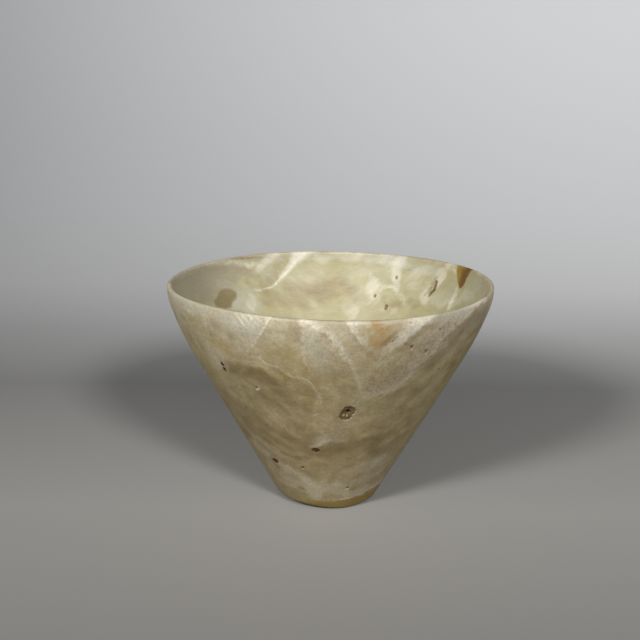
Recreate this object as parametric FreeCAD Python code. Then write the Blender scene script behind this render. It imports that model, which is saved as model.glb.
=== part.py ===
import FreeCAD, Part
import math
import os

Vector = FreeCAD.Vector

# The cup, ground out of one block of banded travertine; its foot rests on z = 0, round the z axis
rim_diameter = 122.0
height = 86.0

# Outer wall: a worn foot edge, a straight flank, a shoulder that bows in, and a lip that turns upright
foot_corner_radius = 19.7
foot_edge_radius = 2.2
shoulder_blend_length = 10.3
lip_bow_radius = 19.6
lip_lean_degrees = 18.0

# Hollow: the wall is thin at the lip and thickens downwards to a heavy floor
lip_thickness = 2.0
inner_blend_length = 15.3
hollow_end_radius = 27.0
floor_thickness = 9.5

# Crusted pit in the right of the front flank, with its ring of crust and its pale grains
flank_pit_width = 4.4
flank_pit_length = 7.2
flank_pit_depth = 1.4
flank_pit_bearing = -82.7
flank_pit_height_share = 0.582
flank_pit_tilt = 19.0
crust_fill_share = 0.62
crust_hole_width = 1.5
crust_hole_depth = 0.6
crust_hole_offset_share = 0.07
grain_width = 1.1
grain_rise = 0.35
grain_gap = 0.15
grain_offset_share = -0.22

# Pair of round pits at the left shoulder, one above the other
shoulder_pit_width = 1.4
shoulder_pit_length = 1.8
shoulder_pit_depth = 1.1
shoulder_pit_bearing = -132.7
shoulder_pit_height_shares = (0.754, 0.731)

# Two rust-filled pits low on the front, listed as bearing in degrees: share of the cup's height
low_pit_width = 2.3
low_pit_length = 2.7
low_pit_depth = 0.9
low_pit_tilt = 90.0
low_pit_height_shares = {-97.2: 0.373, -127.8: 0.263}

# Pinholes in the outer wall, listed in the same way
pinhole_width = 1.1
pinhole_length = 1.5
pinhole_depth = 0.8
outer_pinhole_height_shares = {-73.7: 0.138, -119.0: 0.676, -63.9: 0.881, -57.6: 0.849, -106.9: 0.260}

# Pinholes and one larger pit in the far side of the inner wall, listed in the same way
inner_pinhole_height_shares = {59.0: 0.884, 67.7: 0.786}
bean_pit_width = 1.3
bean_pit_length = 2.4
bean_pit_depth = 0.8
bean_pit_bearing = 60.9
bean_pit_height_share = 0.741

# Bent slot in the inner wall, two arms that meet at its elbow
slot_width = 1.3
slot_depth = 0.8
slot_bearing = 37.8
slot_elbow_height_share = 0.863
slot_upper_arm_length = 4.6
slot_upper_arm_tilt = 3.0
slot_lower_arm_length = 4.6
slot_lower_arm_tilt = 146.0

# Earth and rust left in the small pits fill this share of their depth
earth_fill_share = 0.55

# How far a pit's cutter reaches out past the wall
cut_overrun = 2.0

os.makedirs("parts", exist_ok=True)


def leaning(degrees):
    """Unit direction in the X-Z plane that leans outwards from upright by an angle."""
    lean = math.radians(degrees)
    return Vector(math.sin(lean), 0, math.cos(lean))


def blend(start_corner, corner, blend_length, end_point):
    """Straight run from one point towards a corner, then an arc round it that ends at a given point."""
    back = (start_corner - corner).normalize()
    onward = (end_point - corner).normalize()
    arc_start = corner + back * blend_length
    turn = math.pi - back.getAngle(onward)
    crown = corner + (back + onward).normalize() * blend_length * math.tan(turn / 4)
    run = Part.makeLine(start_corner, arc_start)
    bow = Part.Arc(arc_start, crown, end_point).toShape()
    return [run, bow]


def arc_about(centre, start, end):
    """Shorter arc between two points that lie the same way off a centre."""
    middle = (start - centre) + (end - centre)
    crown = centre + middle.normalize() * (start - centre).Length
    return Part.Arc(start, crown, end).toShape()


rim_radius = rim_diameter / 2
rim_edge_radius = lip_thickness / 2
lip_top = height - rim_edge_radius
lip_centre = Vector(rim_radius - lip_bow_radius, 0, lip_top)
lip_direction = Vector(1, 0, 0)
lip_start_direction = FreeCAD.Rotation(Vector(0, 1, 0), lip_lean_degrees).multVec(lip_direction)

# Outer outline, from the foot up
foot_corner = Vector(foot_corner_radius, 0, 0)
outer_lip_start = lip_centre + lip_start_direction * lip_bow_radius
outer_lip_end = lip_centre + lip_direction * lip_bow_radius
shoulder_corner = outer_lip_start - leaning(lip_lean_degrees) * shoulder_blend_length
flank_direction = (shoulder_corner - foot_corner).normalize()
foot_turn = Vector(1, 0, 0).getAngle(flank_direction)
foot_edge_reach = foot_edge_radius * math.tan(foot_turn / 2)
foot_flat_end = foot_corner - Vector(foot_edge_reach, 0, 0)
flank_start = foot_corner + flank_direction * foot_edge_reach
foot_edge = arc_about(foot_flat_end + Vector(0, 0, foot_edge_radius), foot_flat_end, flank_start)
flank_and_shoulder = blend(flank_start, shoulder_corner, shoulder_blend_length, outer_lip_start)
outer_lip = arc_about(lip_centre, outer_lip_start, outer_lip_end)
outer_outline = [foot_edge] + flank_and_shoulder + [outer_lip]

# Inner outline, from the hollow's rounded end up
inner_lip_radius = lip_bow_radius - lip_thickness
inner_lip_start = lip_centre + lip_start_direction * inner_lip_radius
inner_lip_end = lip_centre + lip_direction * inner_lip_radius
inner_corner = inner_lip_start - leaning(lip_lean_degrees) * inner_blend_length
hollow_end = Vector(0, 0, floor_thickness)
hollow_centre = hollow_end + Vector(0, 0, hollow_end_radius)
to_corner = inner_corner - hollow_centre
touch_turn = math.degrees(math.acos(hollow_end_radius / to_corner.Length))
touch_direction = FreeCAD.Rotation(Vector(0, 1, 0), touch_turn).multVec(to_corner.normalize())
inner_flank_start = hollow_centre + touch_direction * hollow_end_radius
hollow_floor = arc_about(hollow_centre, hollow_end, inner_flank_start)
inner_flank_and_bow = blend(inner_flank_start, inner_corner, inner_blend_length, inner_lip_start)
inner_lip = arc_about(lip_centre, inner_lip_start, inner_lip_end)
inner_outline = [hollow_floor] + inner_flank_and_bow + [inner_lip]


def cup_body():
    """The cup before its pits: the closed outline of wall, rim and floor turned about the z axis."""
    rim_crown = (outer_lip_end + inner_lip_end) / 2 + Vector(0, 0, rim_edge_radius)
    rim_edge = Part.Arc(outer_lip_end, rim_crown, inner_lip_end).toShape()
    foot_face = Part.makeLine(Vector(0, 0, 0), foot_flat_end)
    axis_line = Part.makeLine(hollow_end, Vector(0, 0, 0))
    edges = [foot_face] + outer_outline + [rim_edge] + inner_outline + [axis_line]
    outline = Part.Wire(Part.__sortEdges__(edges))
    return Part.Face(outline).revolve(Vector(0, 0, 0), Vector(0, 0, 1), 360)


class Site:
    """A place on a wall: its point, the way out of the stone, and the directions along the wall."""

    def __init__(self, point, outward, upward, sideways):
        self.point = point
        self.outward = outward
        self.upward = upward
        self.sideways = sideways

    def along(self, tilt):
        """Direction along the wall that leans from straight up towards rising bearings by a tilt."""
        lean = math.radians(tilt)
        return self.upward * math.cos(lean) + self.sideways * math.sin(lean)

    def moved(self, step):
        """The same directions at a point that lies a step away."""
        return Site(self.point + step, self.outward, self.upward, self.sideways)


def site_at(outline, bearing, height_share):
    """Site where a wall's outline, turned to a bearing, reaches a share of the cup's height."""
    level_height = height * height_share
    level = Part.makeLine(Vector(0, 0, level_height), Vector(rim_diameter, 0, level_height))
    crossed = min(outline, key=lambda edge: level.distToShape(edge)[0])
    point = level.distToShape(crossed)[1][0][1]
    slope = crossed.tangentAt(crossed.Curve.parameter(point))
    upward = slope * math.copysign(1, slope.z)
    outward = Vector(upward.z, 0, -upward.x)
    if outline is inner_outline:
        outward = -outward
    turn = FreeCAD.Rotation(Vector(0, 0, 1), bearing)
    directions = [turn.multVec(direction) for direction in (outward, upward, Vector(0, 1, 0))]
    return Site(turn.multVec(point), *directions)


class Pit:
    """A natural hollow: a level floor of rounded outline at its depth, with walls that rise straight out."""

    def __init__(self, site, width, length, depth, tilt=0):
        floor_centre = site.point - site.outward * depth
        direction = site.along(tilt)
        across = direction.cross(site.outward)
        self.floor = rounded_slot(floor_centre, direction, across, width, length)
        self.rise = site.outward * depth
        self.hollow = self.floor.extrude(self.rise + site.outward * cut_overrun)

    def fill(self, share):
        """What lies on the pit's floor, up to a share of its depth, with a level top."""
        return self.floor.extrude(self.rise * share)


def rounded_slot(centre, direction, across, width, length):
    """Flat face of a straight slot with round ends; it is a disc where its length is its width."""
    spoke = across * (width / 2)
    tip = direction * (width / 2)
    reach = direction * ((length - width) / 2)
    upper = centre + reach
    lower = centre - reach
    edges = [Part.Arc(upper + spoke, upper + tip, upper - spoke).toShape()]
    if reach.Length > 0:
        edges.append(Part.makeLine(upper - spoke, lower - spoke))
    edges.append(Part.Arc(lower - spoke, lower - tip, lower + spoke).toShape())
    if reach.Length > 0:
        edges.append(Part.makeLine(lower + spoke, upper + spoke))
    return Part.Face(Part.Wire(edges))


def slot():
    """The bent slot: two narrow pits, one up and one down from its elbow."""
    elbow = site_at(inner_outline, slot_bearing, slot_elbow_height_share)
    arms = []
    for arm_length, tilt in (
        (slot_upper_arm_length, slot_upper_arm_tilt),
        (slot_lower_arm_length, slot_lower_arm_tilt),
    ):
        middle = elbow.moved(elbow.along(tilt) * (arm_length - slot_width) / 2)
        arms.append(Pit(middle, slot_width, arm_length, slot_depth, tilt))
    return arms


def pits_at(outline, height_shares, width, length, depth, tilt=0):
    """Alike pits at a table of bearings and height shares."""
    return [
        Pit(site_at(outline, bearing, share), width, length, depth, tilt)
        for bearing, share in height_shares.items()
    ]


flank_site = site_at(outer_outline, flank_pit_bearing, flank_pit_height_share)
flank_pit = Pit(flank_site, flank_pit_width, flank_pit_length, flank_pit_depth, flank_pit_tilt)
shoulder_pits = [
    Pit(
        site_at(outer_outline, shoulder_pit_bearing, share),
        shoulder_pit_width,
        shoulder_pit_length,
        shoulder_pit_depth,
    )
    for share in shoulder_pit_height_shares
]
low_pits = pits_at(
    outer_outline, low_pit_height_shares, low_pit_width, low_pit_length, low_pit_depth, low_pit_tilt
)
outer_pinholes = pits_at(
    outer_outline, outer_pinhole_height_shares, pinhole_width, pinhole_length, pinhole_depth
)
inner_pinholes = pits_at(
    inner_outline, inner_pinhole_height_shares, pinhole_width, pinhole_length, pinhole_depth
)
bean_site = site_at(inner_outline, bean_pit_bearing, bean_pit_height_share)
bean_pit = Pit(bean_site, bean_pit_width, bean_pit_length, bean_pit_depth)
pits = [flank_pit, bean_pit] + shoulder_pits + low_pits + outer_pinholes + inner_pinholes + slot()


def vessel():
    """The cup with every pit taken out of its walls."""
    return cup_body().cut([pit.hollow for pit in pits])


def crust_top_at(offset_share):
    """Site on the crust's level top, off the pit's middle by a share of the pit's length."""
    down = -flank_site.outward * flank_pit_depth * (1 - crust_fill_share)
    aside = flank_site.along(flank_pit_tilt) * flank_pit_length * offset_share
    return flank_site.moved(down + aside)


def flank_pit_crust():
    """Brown crust that lines the flank pit, with the dark hole in its upper half."""
    hole = Pit(crust_top_at(crust_hole_offset_share), crust_hole_width, crust_hole_width, crust_hole_depth)
    return flank_pit.fill(crust_fill_share).cut(hole.hollow)


def flank_pit_grains():
    """Two pale grains side by side on the lower half of the crust, each a low dome."""
    seat = crust_top_at(grain_offset_share)
    across = seat.along(flank_pit_tilt + 90)
    ball_radius = (grain_width ** 2 / 4 + grain_rise ** 2) / (2 * grain_rise)
    half_pitch = (grain_width + grain_gap) / 2
    grains = []
    for way in (-1, 1):
        foot = seat.point + across * way * half_pitch
        ball = Part.makeSphere(ball_radius, foot - seat.outward * (ball_radius - grain_rise))
        above = Part.makeCylinder(grain_width, grain_width, foot, seat.outward)
        grains.append(ball.common(above))
    return Part.makeCompound([grain.Solids[0] for grain in grains])


def pit_earth():
    """Dark earth and rust packed in the shoulder pits and the low pits."""
    fills = [pit.fill(earth_fill_share) for pit in shoulder_pits + low_pits]
    return Part.makeCompound([fill.Solids[0] for fill in fills])


for make_node in (vessel, flank_pit_crust, flank_pit_grains, pit_earth):
    shape = make_node()
    shape.exportStep(f"parts/{make_node.__name__}.step")
    print(make_node.__name__, len(shape.Solids), "solids", round(shape.Volume, 3), "mm3", shape.isValid())
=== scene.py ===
"""Looks of a small conical cup of banded, translucent travertine, ground out of one block by hand.

The veins, clouds, stains and pits of the stone lie where the photograph shows them, and the stone goes on
in the same way round the back, inside and underneath. Sizes are in millimetres until a mesh is written,
which is in metres. A place on the wall is a bearing, in degrees from +X towards +Y, and a height.
"""

import cmath
import logging
import math
from collections.abc import Iterable, Mapping
from dataclasses import dataclass, field
from enum import Enum

import bmesh
import bpy
import numpy as np
from bpy.types import Material, Mesh, Node, NodeSocket, NodeTree, Object, World
from mathutils import Matrix, Vector, noise


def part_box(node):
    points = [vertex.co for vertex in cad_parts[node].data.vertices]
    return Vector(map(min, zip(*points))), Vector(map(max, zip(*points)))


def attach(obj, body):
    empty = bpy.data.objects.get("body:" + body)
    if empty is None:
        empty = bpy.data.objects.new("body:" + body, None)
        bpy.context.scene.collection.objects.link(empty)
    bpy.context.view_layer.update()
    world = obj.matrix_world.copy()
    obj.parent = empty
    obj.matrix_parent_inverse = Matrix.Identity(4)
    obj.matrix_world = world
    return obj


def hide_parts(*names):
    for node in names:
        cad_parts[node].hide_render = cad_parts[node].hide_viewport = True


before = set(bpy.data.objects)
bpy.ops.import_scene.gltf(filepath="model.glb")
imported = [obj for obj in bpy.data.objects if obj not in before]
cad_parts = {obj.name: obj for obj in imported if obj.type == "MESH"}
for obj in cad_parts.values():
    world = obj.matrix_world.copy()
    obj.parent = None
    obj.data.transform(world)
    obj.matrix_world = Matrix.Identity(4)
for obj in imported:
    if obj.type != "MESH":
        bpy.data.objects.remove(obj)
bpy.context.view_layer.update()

log = logging.getLogger("stone_cup")

MM = 0.001
METRE = 1000.0

Colour = tuple[float, float, float, float]
Pair = tuple[float, float]
Path = tuple[Pair, ...]
Source = Node | NodeSocket | float | Colour
Stops = float | tuple[float, ...]


def linear(hex_colour: str) -> Colour:
    """Turns an sRGB hex colour into the linear colour that shaders take.

    Args:
        hex_colour: The colour as it is seen, such as #C4B98C.

    Returns:
        Linear red, green and blue, and full opacity.
    """
    values = [int(hex_colour[place : place + 2], 16) / 255 for place in (1, 3, 5)]
    red, green, blue = (v / 12.92 if v <= 0.04045 else ((v + 0.055) / 1.055) ** 2.4 for v in values)
    return red, green, blue, 1.0


def add_node(tree: NodeTree, kind: str, inputs: Mapping | None = None, **settings: object) -> Node:
    """Adds a node, sets its own settings, and fills or links its inputs.

    Args:
        tree: The node tree that gets the node.
        kind: Blender's name for the kind of node.
        inputs: What goes into each input, which is given by name, identifier or place. A node stands for
            its first output in use, a socket is linked, and anything else is a value.
        settings: The node's own properties.

    Returns:
        The new node.
    """
    node = tree.nodes.new(kind)
    for name, value in settings.items():
        setattr(node, name, value)
    for key, source in (inputs or {}).items():
        socket = node.inputs[key] if isinstance(key, int) else next(
            candidate for candidate in node.inputs if key in (candidate.identifier, candidate.name)
        )
        if isinstance(source, Node):
            source = next(output for output in source.outputs if output.enabled)
        if isinstance(source, NodeSocket):
            tree.links.new(source, socket)
        else:
            socket.default_value = source
    return node


def worked_out(tree: NodeTree, operation: str, *values: Source, **settings: object) -> Node:
    """Adds a node that works out a sum, a product or the like."""
    return add_node(tree, "ShaderNodeMath", dict(enumerate(values)), operation=operation, **settings)


def stretched(
    tree: NodeTree, value: Source, low: float, high: float, least: Source = 0.0, most: Source = 1.0,
    way: str = "LINEAR",
) -> Node:
    """Adds a node that gives least where a value is low, most where it is high, and what lies between."""
    ends = {"From Min": low, "From Max": high, "To Min": least, "To Max": most}
    return add_node(tree, "ShaderNodeMapRange", {"Value": value, **ends}, interpolation_type=way)


def lumps(tree: NodeTree, place: Source, size: float, detail: float = 2.0, roughness: float = 0.5) -> Node:
    """Adds noise whose largest lumps are some millimetres wide."""
    values = {"Vector": place, "Scale": METRE / size, "Detail": detail, "Roughness": roughness}
    return add_node(tree, "ShaderNodeTexNoise", values)


def carried(tree: NodeTree, name: str, output: str = "Fac") -> NodeSocket:
    """What a mesh carries in one of its vertex attributes."""
    return add_node(tree, "ShaderNodeAttribute", attribute_name=name).outputs[output]


def laid_over(tree: NodeTree, base: Source, layers: Iterable[tuple[Source, Source | str]]) -> Source:
    """Lays colours over one another.

    Args:
        tree: The node tree.
        base: The lowest colour.
        layers: For each colour above it, how strongly it covers, and the colour or its hex name.

    Returns:
        What gives the resulting colour.
    """
    for amount, shade in layers:
        shade = linear(shade) if isinstance(shade, str) else shade
        colours = {"Factor_Float": amount, "A_Color": base, "B_Color": shade}
        base = add_node(tree, "ShaderNodeMix", colours, data_type="RGBA")
    return base


def emptied_tree(owner: Material | World) -> NodeTree:
    """Makes room for the nodes of a new material or world.

    Args:
        owner: The material or world.

    Returns:
        Its tree, with no node in it.
    """
    owner.use_nodes = True
    owner.node_tree.nodes.clear()
    return owner.node_tree


def end_material(tree: NodeTree, inputs: Mapping) -> None:
    """Ends a material's tree with the surface that the inputs give."""
    shader = add_node(tree, "ShaderNodeBsdfPrincipled", inputs)
    add_node(tree, "ShaderNodeOutputMaterial", {"Surface": shader})


def shaping_tree(name: str, inputs: Mapping[str, str], output: str) -> NodeTree:
    """Starts a Geometry Nodes tree.

    Args:
        name: The tree's name.
        inputs: The kind of each named input.
        output: The name of the finished geometry.

    Returns:
        The tree, with its inputs and its output declared.
    """
    tree = bpy.data.node_groups.new(name, "GeometryNodeTree")
    tree.is_modifier = True
    for given, kind in inputs.items():
        tree.interface.new_socket(given, in_out="INPUT", socket_type=f"NodeSocket{kind}")
    tree.interface.new_socket(output, in_out="OUTPUT", socket_type="NodeSocketGeometry")
    return tree


def end_shaping(tree: NodeTree, geometry: Node, material: NodeSocket, output: str) -> NodeTree:
    """Ends a Geometry Nodes tree.

    Args:
        tree: The tree.
        geometry: The shape that it has made.
        material: The input that gives the shape's material.
        output: The name of the finished geometry.

    Returns:
        The same tree.
    """
    real = add_node(tree, "GeometryNodeRealizeInstances", {"Geometry": geometry})
    dressed = add_node(tree, "GeometryNodeSetMaterial", {"Geometry": real, "Material": material})
    add_node(tree, "NodeGroupOutput", {output: dressed})
    return tree


def made_by_nodes(source: Object, tree: NodeTree, values: Mapping, name: str) -> Mesh:
    """Runs a Geometry Nodes tree on an object, and removes the object.

    Args:
        source: The object that the tree works on.
        tree: The tree.
        values: What goes into the tree's inputs, by their names.
        name: The new mesh's name.

    Returns:
        The result as a plain mesh.
    """
    modifier = source.modifiers.new(tree.name, "NODES")
    modifier.node_group = tree
    for item in tree.interface.items_tree:
        if item.item_type == "SOCKET" and item.in_out == "INPUT" and item.name in values:
            modifier[item.identifier] = values[item.name]
    graph = bpy.context.evaluated_depsgraph_get()
    mesh = bpy.data.meshes.new_from_object(source.evaluated_get(graph), depsgraph=graph)
    source.modifiers.remove(modifier)
    bpy.data.objects.remove(source)
    mesh.name = name
    return mesh


def put_in_scene(name: str, data: bpy.types.ID) -> Object:
    """Adds an object to the scene.

    Args:
        name: Its name.
        data: Its mesh, lamp or camera.

    Returns:
        The object.
    """
    thing = bpy.data.objects.new(name, data)
    bpy.context.collection.objects.link(thing)
    return thing


def points_of(mesh: Mesh) -> np.ndarray:
    """Reads where a mesh's vertices lie.

    Args:
        mesh: The mesh.

    Returns:
        Its vertices in millimetres, one a row.
    """
    flat = np.zeros(len(mesh.vertices) * 3)
    mesh.vertices.foreach_get("co", flat)
    return flat.reshape(-1, 3) * METRE


def write_points(mesh: Mesh, points: np.ndarray) -> None:
    """Moves a mesh's vertices to points given in millimetres."""
    mesh.vertices.foreach_set("co", (points * MM).ravel())
    mesh.update()


def write_attribute(mesh: Mesh, name: str, values: np.ndarray) -> None:
    """Keeps one number, or three, for each vertex."""
    kind, part = ("FLOAT", "value") if values.ndim == 1 else ("FLOAT_VECTOR", "vector")
    mesh.attributes.new(name, kind, "POINT").data.foreach_set(part, values.astype(np.float32).ravel())


def smoothstep(low: float, high: float, value: np.ndarray) -> np.ndarray:
    """Goes smoothly from 0 at low to 1 at high."""
    share = np.clip((value - low) / (high - low), 0, 1)
    return share * share * (3 - 2 * share)


def straight(start: complex, end: complex, step: float) -> np.ndarray:
    """Points about a step apart along a line, without its first point."""
    count = max(1, round(abs(end - start) / step))
    return start + (end - start) * np.arange(1, count + 1) / count


def arc(start: complex, end: complex, centre: complex, step: float) -> np.ndarray:
    """Draws the shorter arc about a centre.

    Args:
        start: Where the arc starts.
        end: Where it ends.
        centre: The centre.
        step: About how far apart its points lie.

    Returns:
        The arc's points, without the first.
    """
    spoke = start - centre
    turn = cmath.phase((end - centre) / spoke)
    count = max(2, round(abs(turn * spoke) / step))
    return centre + spoke * np.exp(1j * turn * np.arange(1, count + 1) / count)


def bend(start: complex, corner: complex, end: complex, step: float) -> np.ndarray:
    """Rounds a corner between two points that lie equally far from it.

    Args:
        start: Where the rounding starts.
        corner: The corner.
        end: Where the rounding ends.
        step: About how far apart its points lie.

    Returns:
        The arc's points, without the first.
    """
    back = (start - corner) / abs(start - corner)
    onward = (end - corner) / abs(end - corner)
    half_angle = abs(cmath.phase(onward / back)) / 2
    middle = (back + onward) / abs(back + onward)
    centre = corner + middle * abs(start - corner) / math.cos(half_angle)
    return arc(start, end, centre, step)


class Wall(Enum):
    """The two walls of the cup."""

    OUTER = "outer"
    INNER = "inner"


@dataclass(frozen=True)
class CupSizes:
    """Real sizes of the cup. Its outline is drawn in complex numbers: radius plus height times i.

    The rim's radius and the height come from the frame, and the rest repeats the solid's own sizes.
    """

    rim_radius: float
    height: float
    foot_corner_radius: float = 19.7
    foot_edge_radius: float = 2.2
    shoulder_blend_length: float = 10.3
    lip_bow_radius: float = 19.6
    lip_lean: float = math.radians(18.0)
    lip_thickness: float = 2.0
    inner_blend_length: float = 15.3
    hollow_end_radius: float = 27.0
    floor_thickness: float = 9.5
    wall_step: float = 0.96
    rim_step: float = 0.32
    foot_edge_step: float = 0.45
    foot_face_step: float = 2.3
    hollow_floor_step: float = 1.5

    def lip(self) -> tuple[complex, complex, complex]:
        """The centre of the lip's bow, the way to where it starts, and the lip's own direction."""
        centre = complex(self.rim_radius - self.lip_bow_radius, self.height - self.lip_thickness / 2)
        return centre, cmath.exp(-1j * self.lip_lean), 1j * cmath.exp(-1j * self.lip_lean)

    def outer_run(self) -> np.ndarray:
        """Draws the outside.

        Returns:
            Outline of the foot face, the foot's worn edge, the flank, the shoulder and the outer lip.
        """
        centre, start_way, lip_way = self.lip()
        lip_start = centre + start_way * self.lip_bow_radius
        shoulder = lip_start - lip_way * self.shoulder_blend_length
        flank_way = (shoulder - self.foot_corner_radius) / abs(shoulder - self.foot_corner_radius)
        reach = self.foot_edge_radius * math.tan(cmath.phase(flank_way) / 2)
        foot_end = complex(self.foot_corner_radius - reach, 0)
        flank_start = self.foot_corner_radius + flank_way * reach
        edge_centre = foot_end + 1j * self.foot_edge_radius
        bend_start = shoulder - flank_way * self.shoulder_blend_length
        return np.concatenate([
            [0j],
            straight(0j, foot_end, self.foot_face_step),
            arc(foot_end, flank_start, edge_centre, self.foot_edge_step),
            straight(flank_start, bend_start, self.wall_step),
            bend(bend_start, shoulder, lip_start, self.wall_step),
            arc(lip_start, centre + self.lip_bow_radius, centre, self.wall_step),
        ])

    def rim_run(self) -> np.ndarray:
        """Draws the rim.

        Returns:
            Outline of the rounded rim, from the outer lip over the crown to the inner lip.
        """
        half = self.lip_thickness / 2
        centre = self.lip()[0] + self.lip_bow_radius - half
        over, inside = centre + 1j * half, centre - half
        return np.concatenate([
            arc(centre + half, over, centre, self.rim_step), arc(over, inside, centre, self.rim_step),
        ])

    def inner_run(self) -> np.ndarray:
        """Draws the hollow.

        Returns:
            Outline of the inner lip, the bow below it, the inner flank and the hollow's rounded end.
        """
        centre, start_way, lip_way = self.lip()
        radius = self.lip_bow_radius - self.lip_thickness
        lip_start = centre + start_way * radius
        corner = lip_start - lip_way * self.inner_blend_length
        floor = complex(0, self.floor_thickness)
        hollow_centre = floor + 1j * self.hollow_end_radius
        to_corner = corner - hollow_centre
        touch = math.acos(self.hollow_end_radius / abs(to_corner))
        touch_way = to_corner / abs(to_corner) * cmath.exp(-1j * touch)
        flank_end = hollow_centre + touch_way * self.hollow_end_radius
        flank_way = (corner - flank_end) / abs(corner - flank_end)
        bend_start = corner - flank_way * self.inner_blend_length
        return np.concatenate([
            arc(centre + radius, lip_start, centre, self.wall_step),
            bend(lip_start, corner, bend_start, self.wall_step),
            straight(bend_start, flank_end, self.wall_step),
            arc(flank_end, floor, hollow_centre, self.hollow_floor_step),
        ])

    def outline(self) -> np.ndarray:
        """The closed section's outline, from the middle of the foot face to the hollow's lowest point."""
        return np.concatenate([self.outer_run(), self.rim_run(), self.inner_run()])

    def radius_at(self, height: np.ndarray, wall: Wall) -> np.ndarray:
        """Radius of a wall at some heights."""
        run = self.outer_run()[1:] if wall is Wall.OUTER else self.inner_run()[::-1]
        return np.interp(height, run.imag, run.real)

    def slope_at(self, height: np.ndarray, wall: Wall) -> np.ndarray:
        """How much a wall's radius grows for each millimetre of height."""
        reach = self.wall_step
        return (self.radius_at(height + reach, wall) - self.radius_at(height - reach, wall)) / (2 * reach)


class Chart(Enum):
    """The flat frames in which the stone's marks are traced."""

    FRONT = "outer wall, in the photograph's pixels"
    HOLLOW = "inner wall, in the photograph's pixels"
    BACK = "both walls, as bearing and height"


@dataclass(frozen=True)
class PhotoView:
    """The photograph's camera, worked out from the outline of the rim, the flanks and the foot.

    The front of the cup starts to hide the hollow at the pixel row hollow_hidden_from.
    """

    place: tuple[float, float, float] = (-3.7, -315.6, 157.8)
    tilt_down: float = math.radians(15.56)
    roll: float = math.radians(0.75)
    lens: float = 48.0
    sensor: float = 36.0
    frame_width: int = 640
    hollow_hidden_from: float = 318.0
    hollow_hidden_below: float = 336.0

    def pixels_of(self, points: np.ndarray) -> tuple[np.ndarray, np.ndarray]:
        """Finds where points show in the photograph.

        Args:
            points: One point a row.

        Returns:
            A pixel position for each point, and how many millimetres a pixel spans there.
        """
        offset = points - np.array(self.place)
        focal = self.frame_width * self.lens / self.sensor
        sine, cosine = math.sin(self.tilt_down), math.cos(self.tilt_down)
        depth = offset[:, 1] * cosine - offset[:, 2] * sine
        right = focal * offset[:, 0] / depth
        down = -focal * (offset[:, 1] * sine + offset[:, 2] * cosine) / depth
        turned = (right + 1j * down) * cmath.exp(1j * self.roll) + (1 + 1j) * self.frame_width / 2
        return np.stack([turned.real, turned.imag], axis=1), depth / focal

    def build(self) -> Object:
        """Adds the camera and makes it the scene's own.

        Returns:
            The camera.
        """
        data = bpy.data.cameras.new("photo_camera")
        data.lens = self.lens
        data.sensor_width = self.sensor
        camera = put_in_scene("photo_camera", data)
        turn = Matrix.Rotation(math.pi / 2 - self.tilt_down, 4, "X") @ Matrix.Rotation(self.roll, 4, "Z")
        camera.matrix_world = Matrix.Translation(Vector(self.place) * MM) @ turn
        bpy.context.scene.camera = camera
        return camera


@dataclass(frozen=True)
class ChartView:
    """How the cup's mesh shows in one chart.

    Attributes:
        places: Position of each vertex in the chart.
        crept: The same positions, unevenly shifted as the stone's clouds are.
        unit: Millimetres that one step of the chart spans at each vertex.
        weight: How much of the chart's marks each vertex takes, from 0 to 1.
    """

    places: np.ndarray
    crept: np.ndarray
    unit: np.ndarray
    weight: np.ndarray


GRAZING = 0.06
CLOUD_CREEP = ((9.0, 1.5), (3.0, 0.9))


def chart_views(points: np.ndarray, sizes: CupSizes, view: PhotoView) -> dict[Chart, ChartView]:
    """Lays the cup's mesh out in the charts.

    A vein goes right through the wall, so a vertex takes the marks of its bearing and height on whichever
    wall they were traced.

    Args:
        points: The mesh's vertices.
        sizes: The cup's sizes.
        view: The photograph's camera.

    Returns:
        The mesh as it shows in each chart.
    """
    bearing = np.arctan2(points[:, 1], points[:, 0])
    height = points[:, 2]
    way = np.stack([np.cos(bearing), np.sin(bearing), np.zeros_like(bearing)], axis=1)
    views = {}
    for chart, wall, side in ((Chart.FRONT, Wall.OUTER, 1), (Chart.HOLLOW, Wall.INNER, -1)):
        on_wall = way * sizes.radius_at(height, wall)[:, None]
        on_wall[:, 2] = height
        places, unit = view.pixels_of(on_wall)
        normal = side * (way - np.array([0, 0, 1]) * sizes.slope_at(height, wall)[:, None])
        to_camera = np.array(view.place) - on_wall
        facing = (normal * to_camera).sum(1)
        facing /= np.linalg.norm(normal, axis=1) * np.linalg.norm(to_camera, axis=1)
        shown = smoothstep(0.0, GRAZING, facing)
        views[chart] = ChartView(places, places + creep(on_wall) / unit[:, None], unit, shown)
    turn_from_back = (bearing - math.pi / 2 + math.pi) % math.tau - math.pi
    places = unrolled(turn_from_back + math.pi / 2, height, sizes)
    unseen = smoothstep(view.hollow_hidden_from, view.hollow_hidden_below, views[Chart.HOLLOW].places[:, 1])
    weight = unseen * (1 - views[Chart.FRONT].weight)
    views[Chart.BACK] = ChartView(places, places + creep(points), np.ones_like(height), weight)
    return views


def creep(points: np.ndarray) -> np.ndarray:
    """Shifts the clouds of the stone unevenly.

    Args:
        points: Points in the stone.

    Returns:
        The shift at each point, in millimetres sideways and down.
    """
    shift = np.zeros((len(points), 2))
    for size, reach in CLOUD_CREEP:
        shift += reach * np.array([noise.noise_vector(Vector(point / size))[:2] for point in points])
    return shift


def unrolled(bearing: np.ndarray, height: np.ndarray, sizes: CupSizes) -> np.ndarray:
    """Places on the unrolled back, in millimetres: right is rising bearing, and down is down."""
    across = (bearing - math.pi / 2) * sizes.radius_at(height, Wall.OUTER)
    return np.stack([across, -height], axis=1)


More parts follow.
